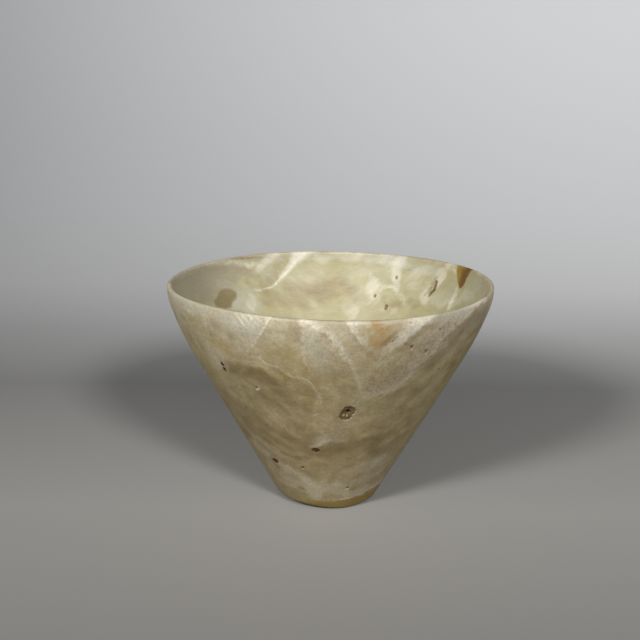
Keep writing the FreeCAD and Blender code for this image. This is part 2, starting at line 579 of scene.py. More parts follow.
def smoothed(path: np.ndarray, steps: int = 5) -> np.ndarray:
    """Rounds a path's corners, as a Catmull-Rom curve through its points.

    Args:
        path: The path's points.
        steps: How many points take the place of each.

    Returns:
        The points of the rounded path.
    """
    if len(path) < 3:
        return path
    first, last = 2 * path[0] - path[1], 2 * path[-1] - path[-2]
    padded = np.vstack([first, path, last])
    rounded = []
    for before, start, end, after in zip(padded, padded[1:], padded[2:], padded[3:]):
        for share in np.arange(steps) / steps:
            linear_part = start + (end - before) * share / 2
            square_part = (2 * before - 5 * start + 4 * end - after) * share**2 / 2
            cube_part = (3 * start - before - 3 * end + after) * share**3 / 2
            rounded.append(linear_part + square_part + cube_part)
    return np.array(rounded + [path[-1]])


@dataclass(frozen=True)
class Trace:
    """How vertices lie to a path.

    Attributes:
        offset: Signed distance in millimetres, above zero on the right as one goes along the path.
        share: How far along the path the nearest place on it lies, from 0 to 1.
        past: How far past an end of the path a vertex lies, in millimetres.
        distance: Plain distance in millimetres.
    """

    offset: np.ndarray
    share: np.ndarray
    past: np.ndarray
    distance: np.ndarray


def trace(path: np.ndarray, places: np.ndarray, unit: np.ndarray) -> Trace:
    """Measures how vertices lie to a path in a chart.

    Args:
        path: The path's points.
        places: Positions of the vertices.
        unit: Millimetres in one step of the chart at each vertex.

    Returns:
        The vertices' offsets, shares, overruns and distances.
    """
    steps = np.diff(path, axis=0)
    lengths = np.linalg.norm(steps, axis=1)
    runs = np.concatenate([[0], np.cumsum(lengths)])
    nearest = np.full(len(places), np.inf)
    offset, share, past = (np.zeros(len(places)) for _ in range(3))
    for index, (start, step, length) in enumerate(zip(path, steps, lengths)):
        from_start = places - start
        lengthways = from_start @ step / length
        aside = (step[0] * from_start[:, 1] - step[1] * from_start[:, 0]) / length
        on_step = np.clip(lengthways, 0, length)
        distance = np.hypot(aside, lengthways - on_step)
        nearer = distance < nearest
        nearest[nearer] = distance[nearer]
        before = -lengthways if index == 0 else np.zeros_like(lengthways)
        after = lengthways - length if index == len(steps) - 1 else np.zeros_like(lengthways)
        overrun = np.maximum(np.maximum(before, after), 0)
        signed = np.where(overrun > 0, aside, np.sign(aside) * distance)
        offset[nearer] = signed[nearer]
        share[nearer] = ((runs[index] + on_step) / runs[-1])[nearer]
        past[nearer] = overrun[nearer]
    return Trace(offset * unit, share, past * unit, nearest * unit)


def along(values: Stops, share: np.ndarray) -> np.ndarray:
    """A value that is given at evenly spaced places along a path, at some shares of its length."""
    stops = np.atleast_1d(values)
    return np.interp(share, np.linspace(0, 1, len(stops)), stops) if len(stops) > 1 else stops[0] + 0 * share


class Side(Enum):
    """The side of a vein on which its milky body lies, as one goes along its path."""

    LEFT = -1
    RIGHT = 1


class Bed(Enum):
    """The vein layers of the stone. Veins that run close together lie in different ones."""

    FIRST = "bed_first"
    SECOND = "bed_second"
    THIRD = "bed_third"
    DARK = "bed_dark"


@dataclass(frozen=True)
class Vein:
    """A seam of white calcite: a bright line, with a milky body that fades away on one side.

    Its line is spread times as wide as the stone's finest line. In the dark bed it is a brown hairline. A
    value with several numbers changes evenly along the path.
    """

    bed: Bed
    path: Path
    line: Stops = 0.6
    body: Stops = 0.0
    fade: Stops = 3.0
    milky_side: Side = Side.RIGHT
    spread: Stops = 1.0


class Tint(Enum):
    """The soft clouds and stains in the stone, each kept in a vertex attribute of its own."""

    HAZE = "grey_haze"
    GOLD = "gold_cloud"
    SMOKE = "smoke_cloud"
    MAUVE = "mauve_cloud"
    UMBER = "umber_cloud"
    MILK = "milk_cloud"
    IRON = "iron_stain"


@dataclass(frozen=True)
class Cloud:
    """A soft cloud or stain along a path. Its reach is in millimetres."""

    path: Path
    reach: Stops
    strength: Stops


# Seams on the front, in the photograph's pixels
FAN_EDGE = ((270, 316.7), (263.5, 329), (253.5, 343.5), (245, 355))
LONG_SEAM = (
    (303, 318), (311, 323.5), (320, 329), (330, 336), (337.5, 343), (342.5, 352),
    (350, 364), (355.5, 376), (359.5, 387), (361.5, 394),
)
WEDGE_LEFT_EDGE = ((345.2, 320.5), (350, 327.5), (355, 335), (361, 343), (368, 349))
WEDGE_RIGHT_EDGE = ((435.6, 313.6), (427, 321.5), (416, 331), (403, 342), (390, 351), (382, 358))
BAND_EDGE = (
    (481.5, 301.5), (472, 311), (460, 324), (446.5, 336), (438, 346), (429.5, 358),
    (416, 367), (409, 377), (392, 390.5), (371.5, 394.8), (361, 399), (355, 405),
)
GROWTH_LINE = (
    (246.7, 357), (258, 357.5), (265, 364), (278.5, 367.5), (288.5, 375), (298.5, 378.5),
    (307, 380), (315, 388.5), (320.8, 398.5), (320, 406), (314, 411),
)
GROWTH_LINE_BELOW = ((246.7, 361.5), (255, 362.5), (263.5, 367.8), (272, 371.5))
GROWTH_LINE_WITHIN = ((305, 382.5), (312.4, 388), (317, 394.6), (318, 400.7), (315, 406))
FOOT_SEAM = ((384.5, 476.5), (377, 484), (363, 492.3), (349.1, 497.8), (334, 500.5), (318, 500))
EYE_RING = ((204.3, 339.3), (209.5, 337.2), (218.3, 337.5), (229.9, 340.3), (238.1, 348.1))
LEFT_STREAK = ((196, 333), (207, 347), (214, 360), (220, 367))
MIDDLE_BOUNDARY = ((302, 325), (302, 340), (302.5, 356), (308, 376))
PIT_LEDGE = ((346, 441), (334, 440), (325, 441.5), (316, 445.5), (311, 447))
LOW_LEFT_LINE = ((243, 425), (257, 433.5), (272, 443), (283, 453), (296, 457), (312, 458.5))
LOW_LEFT_STREAK = ((252, 440), (263, 450), (275, 460), (288, 468), (301, 474))
FAN_STREAKS = (
    (Bed.SECOND, ((236.7, 316), (246, 327))), (Bed.THIRD, ((242.5, 316.2), (252, 326))),
    (Bed.SECOND, ((249.5, 317), (257.5, 324))), (Bed.THIRD, ((256.5, 317.5), (261.5, 322))),
)

# Seams on the far inner wall, in the photograph's pixels
LEFT_BEAM = ((274, 255.6), (268, 262), (261, 268), (254, 273))
MIDDLE_BEAM = ((303.5, 253.5), (296, 262), (288.5, 271.5), (280, 279.5), (271.5, 287.5), (256, 290))
DISC_RING = ((378.6, 291), (381.5, 288.3), (387.6, 286), (393, 288), (400, 294.5), (404, 304))
RIGHT_STREAK = ((458.5, 286.5), (455, 295), (451.8, 301.5), (448.9, 308.7))
LIP_STREAK = ((206, 264.5), (225, 262.5), (246, 263.5), (262, 267))
RUST_LINE = ((231, 259), (241, 258), (258, 257.6))

VEINS = {
    Chart.FRONT: (
        Vein(Bed.FIRST, FAN_EDGE, (0.5, 0.45, 0.4, 0.2), (0.4, 0.3, 0.1), (6, 4)),
        *(Vein(bed, path, (0.8, 0.45), spread=0.9) for bed, path in FAN_STREAKS),
        Vein(
            Bed.SECOND, LONG_SEAM, (0.8, 0.7, 0.6, 0.5, 0.35, 0.2), (0.35, 0.3, 0.2), 2.2, Side.LEFT,
            (3, 2.8, 2.4, 2),
        ),
        Vein(Bed.THIRD, WEDGE_LEFT_EDGE, (0.8, 0.5, 0.1), (1, 0.75, 0.2), (2.6, 1.8), Side.LEFT),
        Vein(
            Bed.FIRST, WEDGE_RIGHT_EDGE, (0.6, 0.45, 0.3, 0.15), (1, 0.8, 0.6, 0.25), (3.2, 3.6, 3.4,
            2.6), spread=1.6,
        ),
        # Its bright start at the rim's right end is white stone with a painted highlight on it
        Vein(
            Bed.SECOND, BAND_EDGE, (0.9, 0.25, 0.16, 0.25, 0.3, 0.3, 0.35, 0.3), (0.8, 0.6, 0.5, 0.45,
            0.45, 0.4, 0.3), (2, 2.6, 3, 2.4), spread=(1.2, 1.8, 2.2),
        ),
        Vein(Bed.THIRD, GROWTH_LINE, (0.35, 0.5, 0.42, 0.5, 0.6, 0.5, 0.2)),
        Vein(Bed.FIRST, GROWTH_LINE_BELOW, (0.25, 0.45, 0.15)),
        Vein(Bed.FIRST, GROWTH_LINE_WITHIN, (0.2, 0.4, 0.15)),
        Vein(Bed.FIRST, FOOT_SEAM, (0.25, 0.7, 0.9, 0.4, 0.1), (0.3, 0.45, 0.3, 0.1), 1.8, spread=1.4),
        Vein(Bed.THIRD, EYE_RING, (0.1, 0.22, 0.15), spread=2),
        Vein(Bed.SECOND, LEFT_STREAK, (0.2, 0.35, 0.4), spread=3),
        Vein(Bed.SECOND, ((186, 308), (191.7, 314)), 0.5, spread=1.6),
        Vein(Bed.FIRST, MIDDLE_BOUNDARY, (0.1, 0.15, 0.1), (0.3, 0.3, 0.2), 6, Side.LEFT, 2),
        Vein(Bed.SECOND, PIT_LEDGE, (0.2, 0.35, 0.6, 0.3), (0.1, 0.3, 0.2), 1.8, spread=1.6),
        Vein(Bed.FIRST, LOW_LEFT_STREAK, (0.25, 0.35, 0.3, 0.1), spread=1.8),
        Vein(Bed.THIRD, ((250, 431), (264, 443), (280, 457)), (0.15, 0.3, 0.1), spread=1.6),
        Vein(Bed.DARK, LOW_LEFT_LINE, (0.15, 0.4, 0.5, 0.6, 0.4), spread=1.5),
        Vein(Bed.DARK, ((249, 437), (262, 444), (276, 455)), 0.25),
        Vein(Bed.DARK, ((271, 458), (278, 467.5)), 0.5, spread=1.3),
        Vein(Bed.DARK, ((361, 397), (354.5, 403)), 0.35),
        Vein(Bed.DARK, ((275, 371.5), (288, 378), (300, 381)), 0.3, spread=2),
        Vein(Bed.DARK, ((381.5, 345.5), (388, 340), (396, 333)), (0.3, 0.65, 0.4), spread=1.5),
    ),
    Chart.HOLLOW: (
        # Along the slot pit: its brown stain, with painted shade in the slot
        Vein(
            Bed.DARK, ((437, 278.5), (433.5, 285), (430, 290), (425.5, 294.5)), (0.6, 0.85, 0.8, 0.6),
            spread=(1.4, 3.6, 3.2, 1.2),
        ),
        Vein(Bed.FIRST, LEFT_BEAM, (0.3, 0.2, 0.1), spread=3),
        Vein(Bed.SECOND, MIDDLE_BEAM, (0.2, 0.4, 0.7, 0.65, 0.55, 0.35), spread=1.6),
        Vein(Bed.FIRST, DISC_RING, (0.4, 0.6, 0.4, 0.15), spread=2.6),
        Vein(Bed.FIRST, RIGHT_STREAK, (0.3, 0.6, 0.75, 0.6), spread=1.8),
        Vein(Bed.THIRD, LIP_STREAK, (0.15, 0.4, 0.5, 0.4), spread=(3, 4)),
        Vein(Bed.DARK, RUST_LINE, (0.4, 0.75, 0.4), spread=1.3),
    ),
    Chart.BACK: (
        Vein(
            Bed.FIRST, ((148, 84), (136, 66), (126, 50), (121, 34), (118, 18)), (0.5, 0.7, 0.6, 0.4,
            0.2), (0.5, 0.4, 0.2), (4, 2.5), spread=(3, 2),
        ),
        Vein(
            Bed.SECOND, ((30, 62), (48, 52), (66, 48), (84, 38), (100, 26), (128, 20)), (0.3, 0.45,
            0.35, 0.4, 0.2), (0.4, 0.3, 0.35, 0.2), (3.2, 4, 2.4), Side.LEFT, 2,
        ),
        Vein(Bed.THIRD, ((84, 38), (88, 50), (95, 60), (104, 67)), (0.3, 0.4, 0.2), spread=2),
        Vein(Bed.THIRD, ((40, 30), (58, 36), (76, 28), (84, 16)), (0.2, 0.35, 0.2)),
        Vein(Bed.DARK, ((96, 52), (110, 40), (132, 33)), (0.2, 0.5, 0.2), spread=1.3),
        Vein(Bed.FIRST, ((4, 60), (16, 46), (30, 38), (42, 22)), (0.2, 0.4, 0.3), spread=2),
        Vein(
            Bed.SECOND, ((182, 52), (170, 44), (158, 30), (150, 14)), (0.2, 0.45, 0.3), (0.2, 0.3),
            3, Side.LEFT, 2,
        ),
    ),
}


def clouds(*shapes: tuple[Path, Stops, Stops]) -> tuple[Cloud, ...]:
    """Clouds that are each given by a path, a reach and a strength."""
    return tuple(Cloud(*shape) for shape in shapes)


CLOUDS = {
    # Cool, grey-white stone under the rim
    (Chart.FRONT, Tint.HAZE): clouds(
        (((169, 284), (178, 298), (205, 309), (246, 318)), (2.6, 3, 4, 4.2), (0.7, 0.7, 0.62, 0.55)),
        (((262, 319), (300, 321), (340, 323)), (3.4, 2, 2.2), (0.45, 0.3, 0.3)),
        (((240, 322), (250, 332), (247, 345)), (5, 4.5, 3), (0.7, 0.6, 0.3)),
        (((442, 318), (456, 311), (474, 303)), (4, 3.6, 2.6), (0.8, 0.85, 0.7)),
        (((312, 338), (318, 352), (326, 374)), 4.5, (0.5, 0.5, 0.3)),
        (((356, 404), (348, 422), (337, 433)), (1.8, 2.6, 2.4), (0.4, 0.45, 0.4)),
    ),
    # Milky stone on the front, and a painted highlight at the rim's right end
    (Chart.FRONT, Tint.MILK): clouds(
        (((238, 319), (250, 323), (248, 336)), (2.4, 3, 1.6), (0.3, 0.3, 0.2)),
        (((302, 319), (312, 323), (322, 330)), (1.6, 2, 1.4), (0.5, 0.35, 0.15)),
        (((349, 323), (352, 328)), 1.8, 0.65),
        (((358, 324), (392, 323), (428, 317)), (2.4, 2, 2.8), (0.6, 0.35, 0.85)),
        (((426, 319), (409, 332), (392, 346)), (2.4, 2, 1.8), (0.85, 0.55, 0.25)),
        # White stone at the rim's right end, with a painted highlight on it
        (((462, 310), (482, 301)), (1.2, 1.6), (0.35, 0.8)),
        (((213, 347), (219, 360), (226, 368)), (2, 2.6, 1.8), (0.4, 0.65, 0.35)),
        (((257.4, 388.2), (257.8, 388.4)), 0.9, 0.9),
        (((314, 442), (322, 440), (328, 436)), (1.5, 1.8, 1.3), (0.35, 0.5, 0.35)),
        (((308, 482), (313, 489), (318, 495)), (2.4, 3.2, 2.2), (0.3, 0.42, 0.4)),
        (((324, 472), (352, 470), (376, 461), (393, 453)), 2.4, (0.3, 0.36, 0.42, 0.25)),
        (((286, 470), (300, 479), (316, 488), (344, 490)), (2.4, 3.4, 4.6, 3), (0.4, 0.5, 0.5, 0.42)),
        (((344, 496), (358, 491), (372, 482)), 1.3, (0.5, 0.6, 0.3)),
        (((256, 444), (276, 472), (292, 486)), 2.6, (0.22, 0.28, 0.45)),
        (((344, 482), (370, 474), (384, 458)), 3.4, (0.45, 0.45, 0.3)),
    ),
    # Thick, darker, olive stone on the front
    (Chart.FRONT, Tint.SMOKE): clouds(
        (((186, 334), (200, 362), (222, 392), (246, 430)), (3, 3, 4, 3.5), (0.25, 0.25, 0.45, 0.5)),
        (((227, 366), (237, 367), (246, 369)), (2, 3, 2.4), (0.5, 0.7, 0.6)),
        (((248, 372), (266, 378), (286, 384)), (2.4, 2.2, 1.6), (0.65, 0.7, 0.6)),
        (((300, 388), (312, 396), (309, 406)), (3.4, 3.2, 3), (0.4, 0.5, 0.4)),
        (((262, 398), (286, 406), (302, 418), (306, 428)), 5, (0.35, 0.4, 0.45, 0.4)),
        (((234, 376), (258, 390), (292, 394)), (3, 4.4, 4.4), (0.3, 0.4, 0.35)),
        (((240, 400), (256, 412), (268, 424)), 3.4, (0.3, 0.5, 0.3)),
        (((480, 318), (456, 350), (432, 380), (404, 408)), (3, 6, 8, 7), (0.35, 0.25, 0.2, 0.2)),
        (((388, 404), (404, 424), (384, 440)), 7, (0.1, 0.2, 0.15)),
        (((248, 420), (274, 434), (298, 447), (326, 455)), (2.6, 3.6, 2.8), (0.45, 0.6, 0.45)),
        (((316, 442), (338, 446), (362, 444), (394, 446)), 4.4, (0.45, 0.65, 0.55, 0.3)),
        (((324, 459), (342, 459), (356, 457)), 2.6, (0.3, 0.5, 0.3)),
        (((296, 324), (302, 338)), 3, 0.4),
        (((380, 346), (388, 341), (397, 334)), 1.2, (0.4, 0.7, 0.5)),
        (((441, 317), (429, 326), (415, 337), (401, 348)), 1.7, (0.55, 0.55, 0.5, 0.3)),
        (
            ((484, 307), (466, 325), (444, 346), (428, 363), (408, 381), (384, 396)), 2.6, (0.3, 0.4,
            0.2, 0.15, 0.25),
        ),
    ),
    # Yellower stone on the front
    (Chart.FRONT, Tint.GOLD): clouds(
        (((188, 320), (196, 330), (203, 341)), 3.4, (0.4, 0.5, 0.45)),
        (((218, 344), (227, 349)), 2.8, (0.75, 0.75)),
        (((258, 371), (274, 375), (286, 380)), 2, (0.6, 0.7, 0.4)),
        (((262, 340), (284, 352), (298, 372), (308, 396)), (6, 8, 6), (0.3, 0.45, 0.5, 0.55)),
        (((472, 345), (450, 384), (428, 418), (408, 452)), (2.6, 3.4, 3), (0.6, 0.75, 0.7, 0.5)),
        (((202, 362), (226, 405), (250, 446)), 2.4, 0.5),
        (((343, 338), (350, 346)), 2.4, 0.35),
        (((364, 330), (382, 337), (400, 330)), 3.4, (0.3, 0.6, 0.35)),
        (((286, 492), (320, 505), (350, 502)), 2, 0.5),
    ),
    # Greyer and pinker stone
    (Chart.FRONT, Tint.MAUVE): clouds(
        (
            ((462, 321), (446, 332), (431, 345), (415, 359), (397, 375), (374, 389)), (2.2, 3.4, 3.8,
            3.4, 2.6), (0.55, 0.7, 0.5, 0.6, 0.6),
        ),
        (((362, 350), (378, 364), (372, 384)), 5, (0.45, 0.5, 0.5)),
        (((322, 334), (336, 352), (350, 376)), 3.2, (0.4, 0.45, 0.35)),
        (((352, 408), (344, 424), (330, 436)), 4.2, (0.5, 0.45, 0.4)),
        (((258, 444), (290, 470)), 3, 0.45),
    ),
    # Rust that has crept along the seams
    (Chart.FRONT, Tint.IRON): clouds(
        (((380, 342), (387, 335), (398, 329)), (3.4, 4.2, 3), (0.75, 0.8, 0.55)),
        (((375.5, 321.5), (378, 325), (382, 333)), 2, (0.95, 0.7, 0.4)),
        (((371, 352), (377, 360)), 2.2, 0.4),
        (((452, 366), (456, 362)), 1.4, 0.7),
        (((472, 334), (480, 324)), 1.6, 0.5),
        (((448, 366), (438, 390)), 2.2, 0.45),
        (((312, 450), (320, 449)), 1.4, 0.8),
        (((410, 412), (402, 434)), 2.4, 0.4),
        (((218, 396), (244, 434)), 1.4, 0.4),
        (((274, 462), (277, 467)), 0.9, 0.6),
        (((318, 503.5), (324, 504)), 1.2, 0.7),
        (((352, 499), (366, 493)), 1.2, 0.6),
    ),
    # The lit inner wall
    (Chart.HOLLOW, Tint.UMBER): clouds(
        (
            ((176, 284), (186, 276), (204, 271), (226, 269), (246, 272)), (6, 6.5, 6.5, 5, 3),
            (0.85, 0.9, 0.95, 0.85, 0.6),
        ),
        (((184, 290), (204, 291), (214, 284), (228, 279)), (6, 6.5, 5), (0.8, 0.85, 0.7)),
        (((240, 270), (250, 274), (262, 282)), (2.4, 2.6, 1.8), (0.7, 0.65, 0.4)),
        (((478, 274), (486, 288)), 4, (0.25, 0.35)),
    ),
    (Chart.HOLLOW, Tint.SMOKE): clouds(
        (((262, 284), (276, 272), (286, 262)), (4, 3.4, 2), (0.4, 0.4, 0.3)),
        (((270, 296), (292, 296), (318, 292), (344, 286)), (6, 8, 8, 5), (0.45, 0.6, 0.62, 0.4)),
        (((388, 300), (396, 306)), 3.6, 0.5),
        (((410, 302), (418, 306)), 3, 0.3),
        (((346, 282), (354, 294), (346, 304)), 4, 0.4),
        (((216, 275), (230, 277), (244, 283)), 3, (0.35, 0.45, 0.3)),
        (((462, 292), (474, 288)), 4.6, (0.15, 0.25)),
        (((250, 259), (262, 258)), 2, 0.4),
    ),
    (Chart.HOLLOW, Tint.GOLD): clouds(
        (((268, 302), (300, 297), (334, 292)), (7, 9, 7), (0.25, 0.35, 0.35)),
        (((330, 266), (356, 272), (352, 296)), 7, 0.25),
        (((444, 270), (456, 276)), 3, 0.5),
    ),
    (Chart.HOLLOW, Tint.HAZE): clouds(
        (((220, 285), (234, 288), (246, 297), (253, 310)), (3, 4, 5.2, 5.4), (0.35, 0.4, 0.65, 0.75)),
        (((210, 303), (226, 306), (238, 304)), (2.6, 4, 4), (0.4, 0.85, 0.85)),
        (((236, 263), (262, 260), (288, 256)), (3.4, 4, 3), (0.45, 0.55, 0.4)),
        (((262, 275), (272, 270)), 2.6, 0.5),
        (((300, 256), (350, 256), (400, 262), (440, 272)), (2.6, 2.8, 3.6, 3), (0.55, 0.5, 0.8, 0.6)),
        (((436, 301), (452, 296)), 3.4, 0.5),
        (((182, 276), (204, 264), (226, 260)), 1.8, (0.5, 0.45, 0.4)),
        (((478, 282), (470, 296)), 3.4, 0.5),
    ),
    (Chart.HOLLOW, Tint.MILK): clouds(
        (((251, 296), (254, 308)), 2.6, (0.3, 0.45)),
        (((370, 275), (373, 283), (370, 292)), (3.2, 4.6, 3.4), (0.45, 0.65, 0.45)),
        (((362, 288), (370, 300), (378, 299)), 3.4, 0.35),
        (((397, 265), (396, 273), (396, 287)), (2, 2.6, 2.4), (0.45, 0.65, 0.6)),
        (((384, 311), (394, 312)), 2.6, 0.4),
        (((442, 272), (440, 281), (433, 288), (424, 299)), (2.4, 1.8, 1.8, 2.6), (0.6, 0.5, 0.45, 0.35)),
        (((400, 270), (418, 280), (428, 276)), 7, (0.3, 0.45, 0.4)),
        (((345, 303), (352, 312)), 4.5, 0.35),
        (((318, 257), (352, 257), (400, 260)), 3.6, (0.5, 0.5, 0.45)),
        (((275, 253), (266, 262), (255, 273)), (3.4, 3, 2.2), (0.7, 0.45, 0.35)),
        (((449, 266), (455, 272)), (2.4, 1.8), (0.75, 0.5)),
        (((440, 306), (455, 300), (470, 294)), 3, 0.35),
    ),
    # Round the back
    (Chart.BACK, Tint.MILK): clouds(
        (((140, 76), (128, 60), (122, 44)), (6, 5, 4), (0.5, 0.4, 0.3)),
        (((60, 44), (82, 36), (104, 22)), (3.5, 5, 4), (0.3, 0.45, 0.4)),
        (((100, 6), (60, 8), (20, 7)), 3, (0.4, 0.3, 0.4)),
    ),
    (Chart.BACK, Tint.SMOKE): clouds(
        (((150, 40), (128, 28), (96, 16)), (7, 8, 6), (0.5, 0.6, 0.5)),
        (((20, 56), (44, 42), (60, 24)), (8, 9, 6), (0.6, 0.6, 0.5)),
        (((100, 56), (88, 44)), 7, (0.35, 0.4)),
    ),
    (Chart.BACK, Tint.MAUVE): clouds(
        (((70, 62), (58, 52)), 6, (0.5, 0.4)),
    ),
    (Chart.BACK, Tint.HAZE): clouds(
        (((20, 80), (60, 79), (110, 81), (165, 79)), 5, (0.6, 0.4, 0.7, 0.5)),
    ),
    (Chart.BACK, Tint.GOLD): clouds(
        (((110, 48), (104, 36)), 6, 0.6),
        (((30, 16), (70, 10), (120, 9)), 4, 0.4),
    ),
    (Chart.BACK, Tint.IRON): clouds(
        (((86, 30), (92, 24)), 2.4, 0.6),
        (((34, 34), (40, 30)), 1.8, 0.5),
    ),
}

# Dark specks on the front, as a pixel position and a radius in millimetres
SPECKS = (
    (406, 344, 0.42), (411.5, 348, 0.34), (425.5, 352.6, 0.4), (410.6, 322.5, 0.34), (440, 329, 0.36),
    (448.5, 326.5, 0.3), (439, 369, 0.34), (303.4, 467.8, 0.42), (326, 464.5, 0.3), (398, 337, 0.3),
    (393, 341, 0.36), (386, 345, 0.3), (284, 429, 0.34), (246, 408, 0.36), (267, 424, 0.36),
    (357, 372, 0.24), (340, 395, 0.26), (322, 355.5, 0.22), (378, 404, 0.24), (295, 402, 0.24),
    (364, 431, 0.26), (331, 448, 0.26), (290, 442, 0.3), (256, 434.5, 0.3), (392, 418, 0.26),
)

# Honey-brown mineral grown into the lip, with its darker side, a milky beam that comes down from the lip,
# and a round brown spot, all on the far inner wall
HONEY_OUTLINE = (
    (457.6, 265.3), (465.7, 266), (471.6, 269.3), (469.3, 274), (466.8, 278), (464.6, 283),
    (461.1, 287.4), (459.2, 284), (458.2, 278), (457, 272),
)
HONEY_DARK_SIDE = ((469.8, 267), (467.2, 273), (464.3, 280), (461.8, 286.5))
BEAM_OUTLINE = (
    (293, 250.5), (316, 250.5), (310, 255.5), (303, 259.5), (297, 264), (290, 270.5),
    (284.5, 276.5), (279.5, 281), (280.5, 277), (285.5, 270.5), (289.5, 263.5), (292.5, 257),
)
SPOT_OUTLINE = (
    (225.5, 288), (231, 288.5), (235.5, 292), (236, 298), (233, 302), (231.5, 307.5),
    (224, 308.5), (217.5, 306), (214.5, 302), (217.5, 298), (219.5, 291.5),
)


@dataclass(frozen=True)
class Pit:
    """A natural hollow in a wall, as a rounded slot whose long way leans from upright by a tilt.

    Its darkening goes from 0 to 1: partly brown stain on its sides, partly painted shade in the hollow.
    """

    wall: Wall
    bearing: float
    height_share: float
    width: float
    length: float
    depth: float
    tilt: float = 0.0
    stain_and_shade: float = 1.0

    def frame(self, sizes: CupSizes) -> Matrix:
        """Finds the pit's own axes.

        Args:
            sizes: The cup's sizes.

        Returns:
            The axes along the pit, across it and out of the stone, at its middle on the wall.
        """
        height = sizes.height * self.height_share
        radius = float(sizes.radius_at(height, self.wall))
        slope = float(sizes.slope_at(height, self.wall))
        turn = Matrix.Rotation(math.radians(self.bearing), 3, "Z")
        upward = turn @ Vector((slope, 0, 1)).normalized()
        sideways = turn @ Vector((0, 1, 0))
        outward = sideways.cross(upward) if self.wall is Wall.OUTER else upward.cross(sideways)
        lean = math.radians(self.tilt)
        lengthways = upward * math.cos(lean) + sideways * math.sin(lean)
        axes = Matrix((lengthways, outward.cross(lengthways), outward)).transposed().to_4x4()
        return Matrix.Translation(turn @ Vector((radius, 0, height))) @ axes

    def local(self, points: np.ndarray, sizes: CupSizes) -> np.ndarray:
        """Points as they lie in the pit's own axes."""
        to_pit = np.array(self.frame(sizes).inverted())
        return points @ to_pit[:3, :3].T + to_pit[:3, 3]

    def share_out(self, lengthways: np.ndarray, crossways: np.ndarray) -> np.ndarray:
        """How far out places lie from the pit's spine: 0 on it and 1 on the pit's edge."""
        over_end = np.maximum(np.abs(lengthways) - (self.length - self.width) / 2, 0)
        return np.hypot(over_end, crossways) / (self.width / 2)


FLANK_PIT = Pit(Wall.OUTER, -82.7, 0.582, 4.4, 7.2, 1.4, 19.0, 0.35)
SHOULDER_PITS = tuple(Pit(Wall.OUTER, -132.7, share, 1.4, 1.8, 1.1) for share in (0.754, 0.731))
LOW_PITS = tuple(
    Pit(Wall.OUTER, bearing, share, 2.3, 2.7, 0.9, 90.0)
    for bearing, share in ((-97.2, 0.373), (-127.8, 0.263))
)
PINHOLES = tuple(
    Pit(wall, bearing, share, 1.1, 1.5, 0.8, 0.0, 0.7)
    for wall, bearing, share in (
        (Wall.OUTER, -73.7, 0.138), (Wall.OUTER, -119.0, 0.676), (Wall.OUTER, -63.9, 0.881),
        (Wall.OUTER, -57.6, 0.849), (Wall.OUTER, -106.9, 0.260), (Wall.INNER, 59.0, 0.884),
        (Wall.INNER, 67.7, 0.786),
    )
)
BEAN_PIT = Pit(Wall.INNER, 60.9, 0.741, 1.3, 2.4, 0.8)
SLOT_ARMS = (
    Pit(Wall.INNER, 38.1, 0.881, 1.3, 4.6, 0.8, 3.0),
    Pit(Wall.INNER, 39.0, 0.847, 1.3, 4.6, 0.8, 146.0),
)
PITS = (FLANK_PIT, BEAN_PIT) + SHOULDER_PITS + LOW_PITS + PINHOLES + SLOT_ARMS

FAR = 99.0
FARTHEST_KEPT = 6.0
SMALL_CLOUD = 1.4
CLOUD_EDGE = (1.25, 0.35)
VEIN_END = (1.6, 0.0)
BODY_FALL = 1.2
BODY_START = (-2.6, -1.2)
BODY_END = (2.5, 1.6)
LINE_END = (2.4, 1.2)
FAINT = 0.004
SPECK_REACH = 3.0


def chart_path(chart: Chart, path: Path, sizes: CupSizes) -> np.ndarray:
    """A path's points in its chart's own steps."""
    points = np.array(path, float)
    return unrolled(np.radians(points[:, 0]), points[:, 1], sizes) if chart is Chart.BACK else points


def cloud_strength(cloud: Cloud, chart: Chart, view: ChartView, sizes: CupSizes) -> np.ndarray:
    """Spreads one cloud over the mesh.

    Args:
        cloud: The cloud.
        chart: The chart that it is traced in.
        view: The mesh as it shows in that chart.
        sizes: The cup's sizes.

    Returns:
        How strongly the cloud shows at each vertex, from 0 to 1.
    """
    places = view.crept if np.max(cloud.reach) > SMALL_CLOUD else view.places
    lie = trace(smoothed(chart_path(chart, cloud.path, sizes), 3), places, view.unit)
    reach = along(cloud.reach, lie.share)
    return along(cloud.strength, lie.share) * smoothstep(*CLOUD_EDGE, lie.distance / reach) * view.weight


def inside_distance(outline: Path, view: ChartView) -> np.ndarray:
    """Measures how far vertices lie inside a closed outline.

    Args:
        outline: The outline's corners.
        view: The mesh as it shows in the outline's chart.

    Returns:
        The distance of each vertex to the outline in millimetres, above zero inside it.
    """
    closed = np.vstack([outline, outline[:1]])
    distance = trace(closed, view.places, view.unit).distance
    crossings = np.zeros(len(distance), bool)
    for (x0, y0), (x1, y1) in zip(closed, closed[1:]):
        spans = (view.places[:, 1] < y0) != (view.places[:, 1] < y1)
        drop = np.where(y1 == y0, 1.0, y1 - y0)
        crossings ^= spans & (view.places[:, 0] < x0 + (view.places[:, 1] - y0) * (x1 - x0) / drop)
    signed = np.where(crossings, distance, -distance).clip(-FARTHEST_KEPT, FARTHEST_KEPT)
    return np.where(view.weight > 0, signed, -FARTHEST_KEPT)


def waved(bearing: np.ndarray, waves: Path) -> np.ndarray:
    """The sum of waves that go 1, 2, 3 and more times round, each given by its height and its turn."""
    turns = (np.sin(count * bearing + math.radians(turn)) for count, (_, turn) in enumerate(waves, 1))
    return sum(height * wave for (height, _), wave in zip(waves, turns))


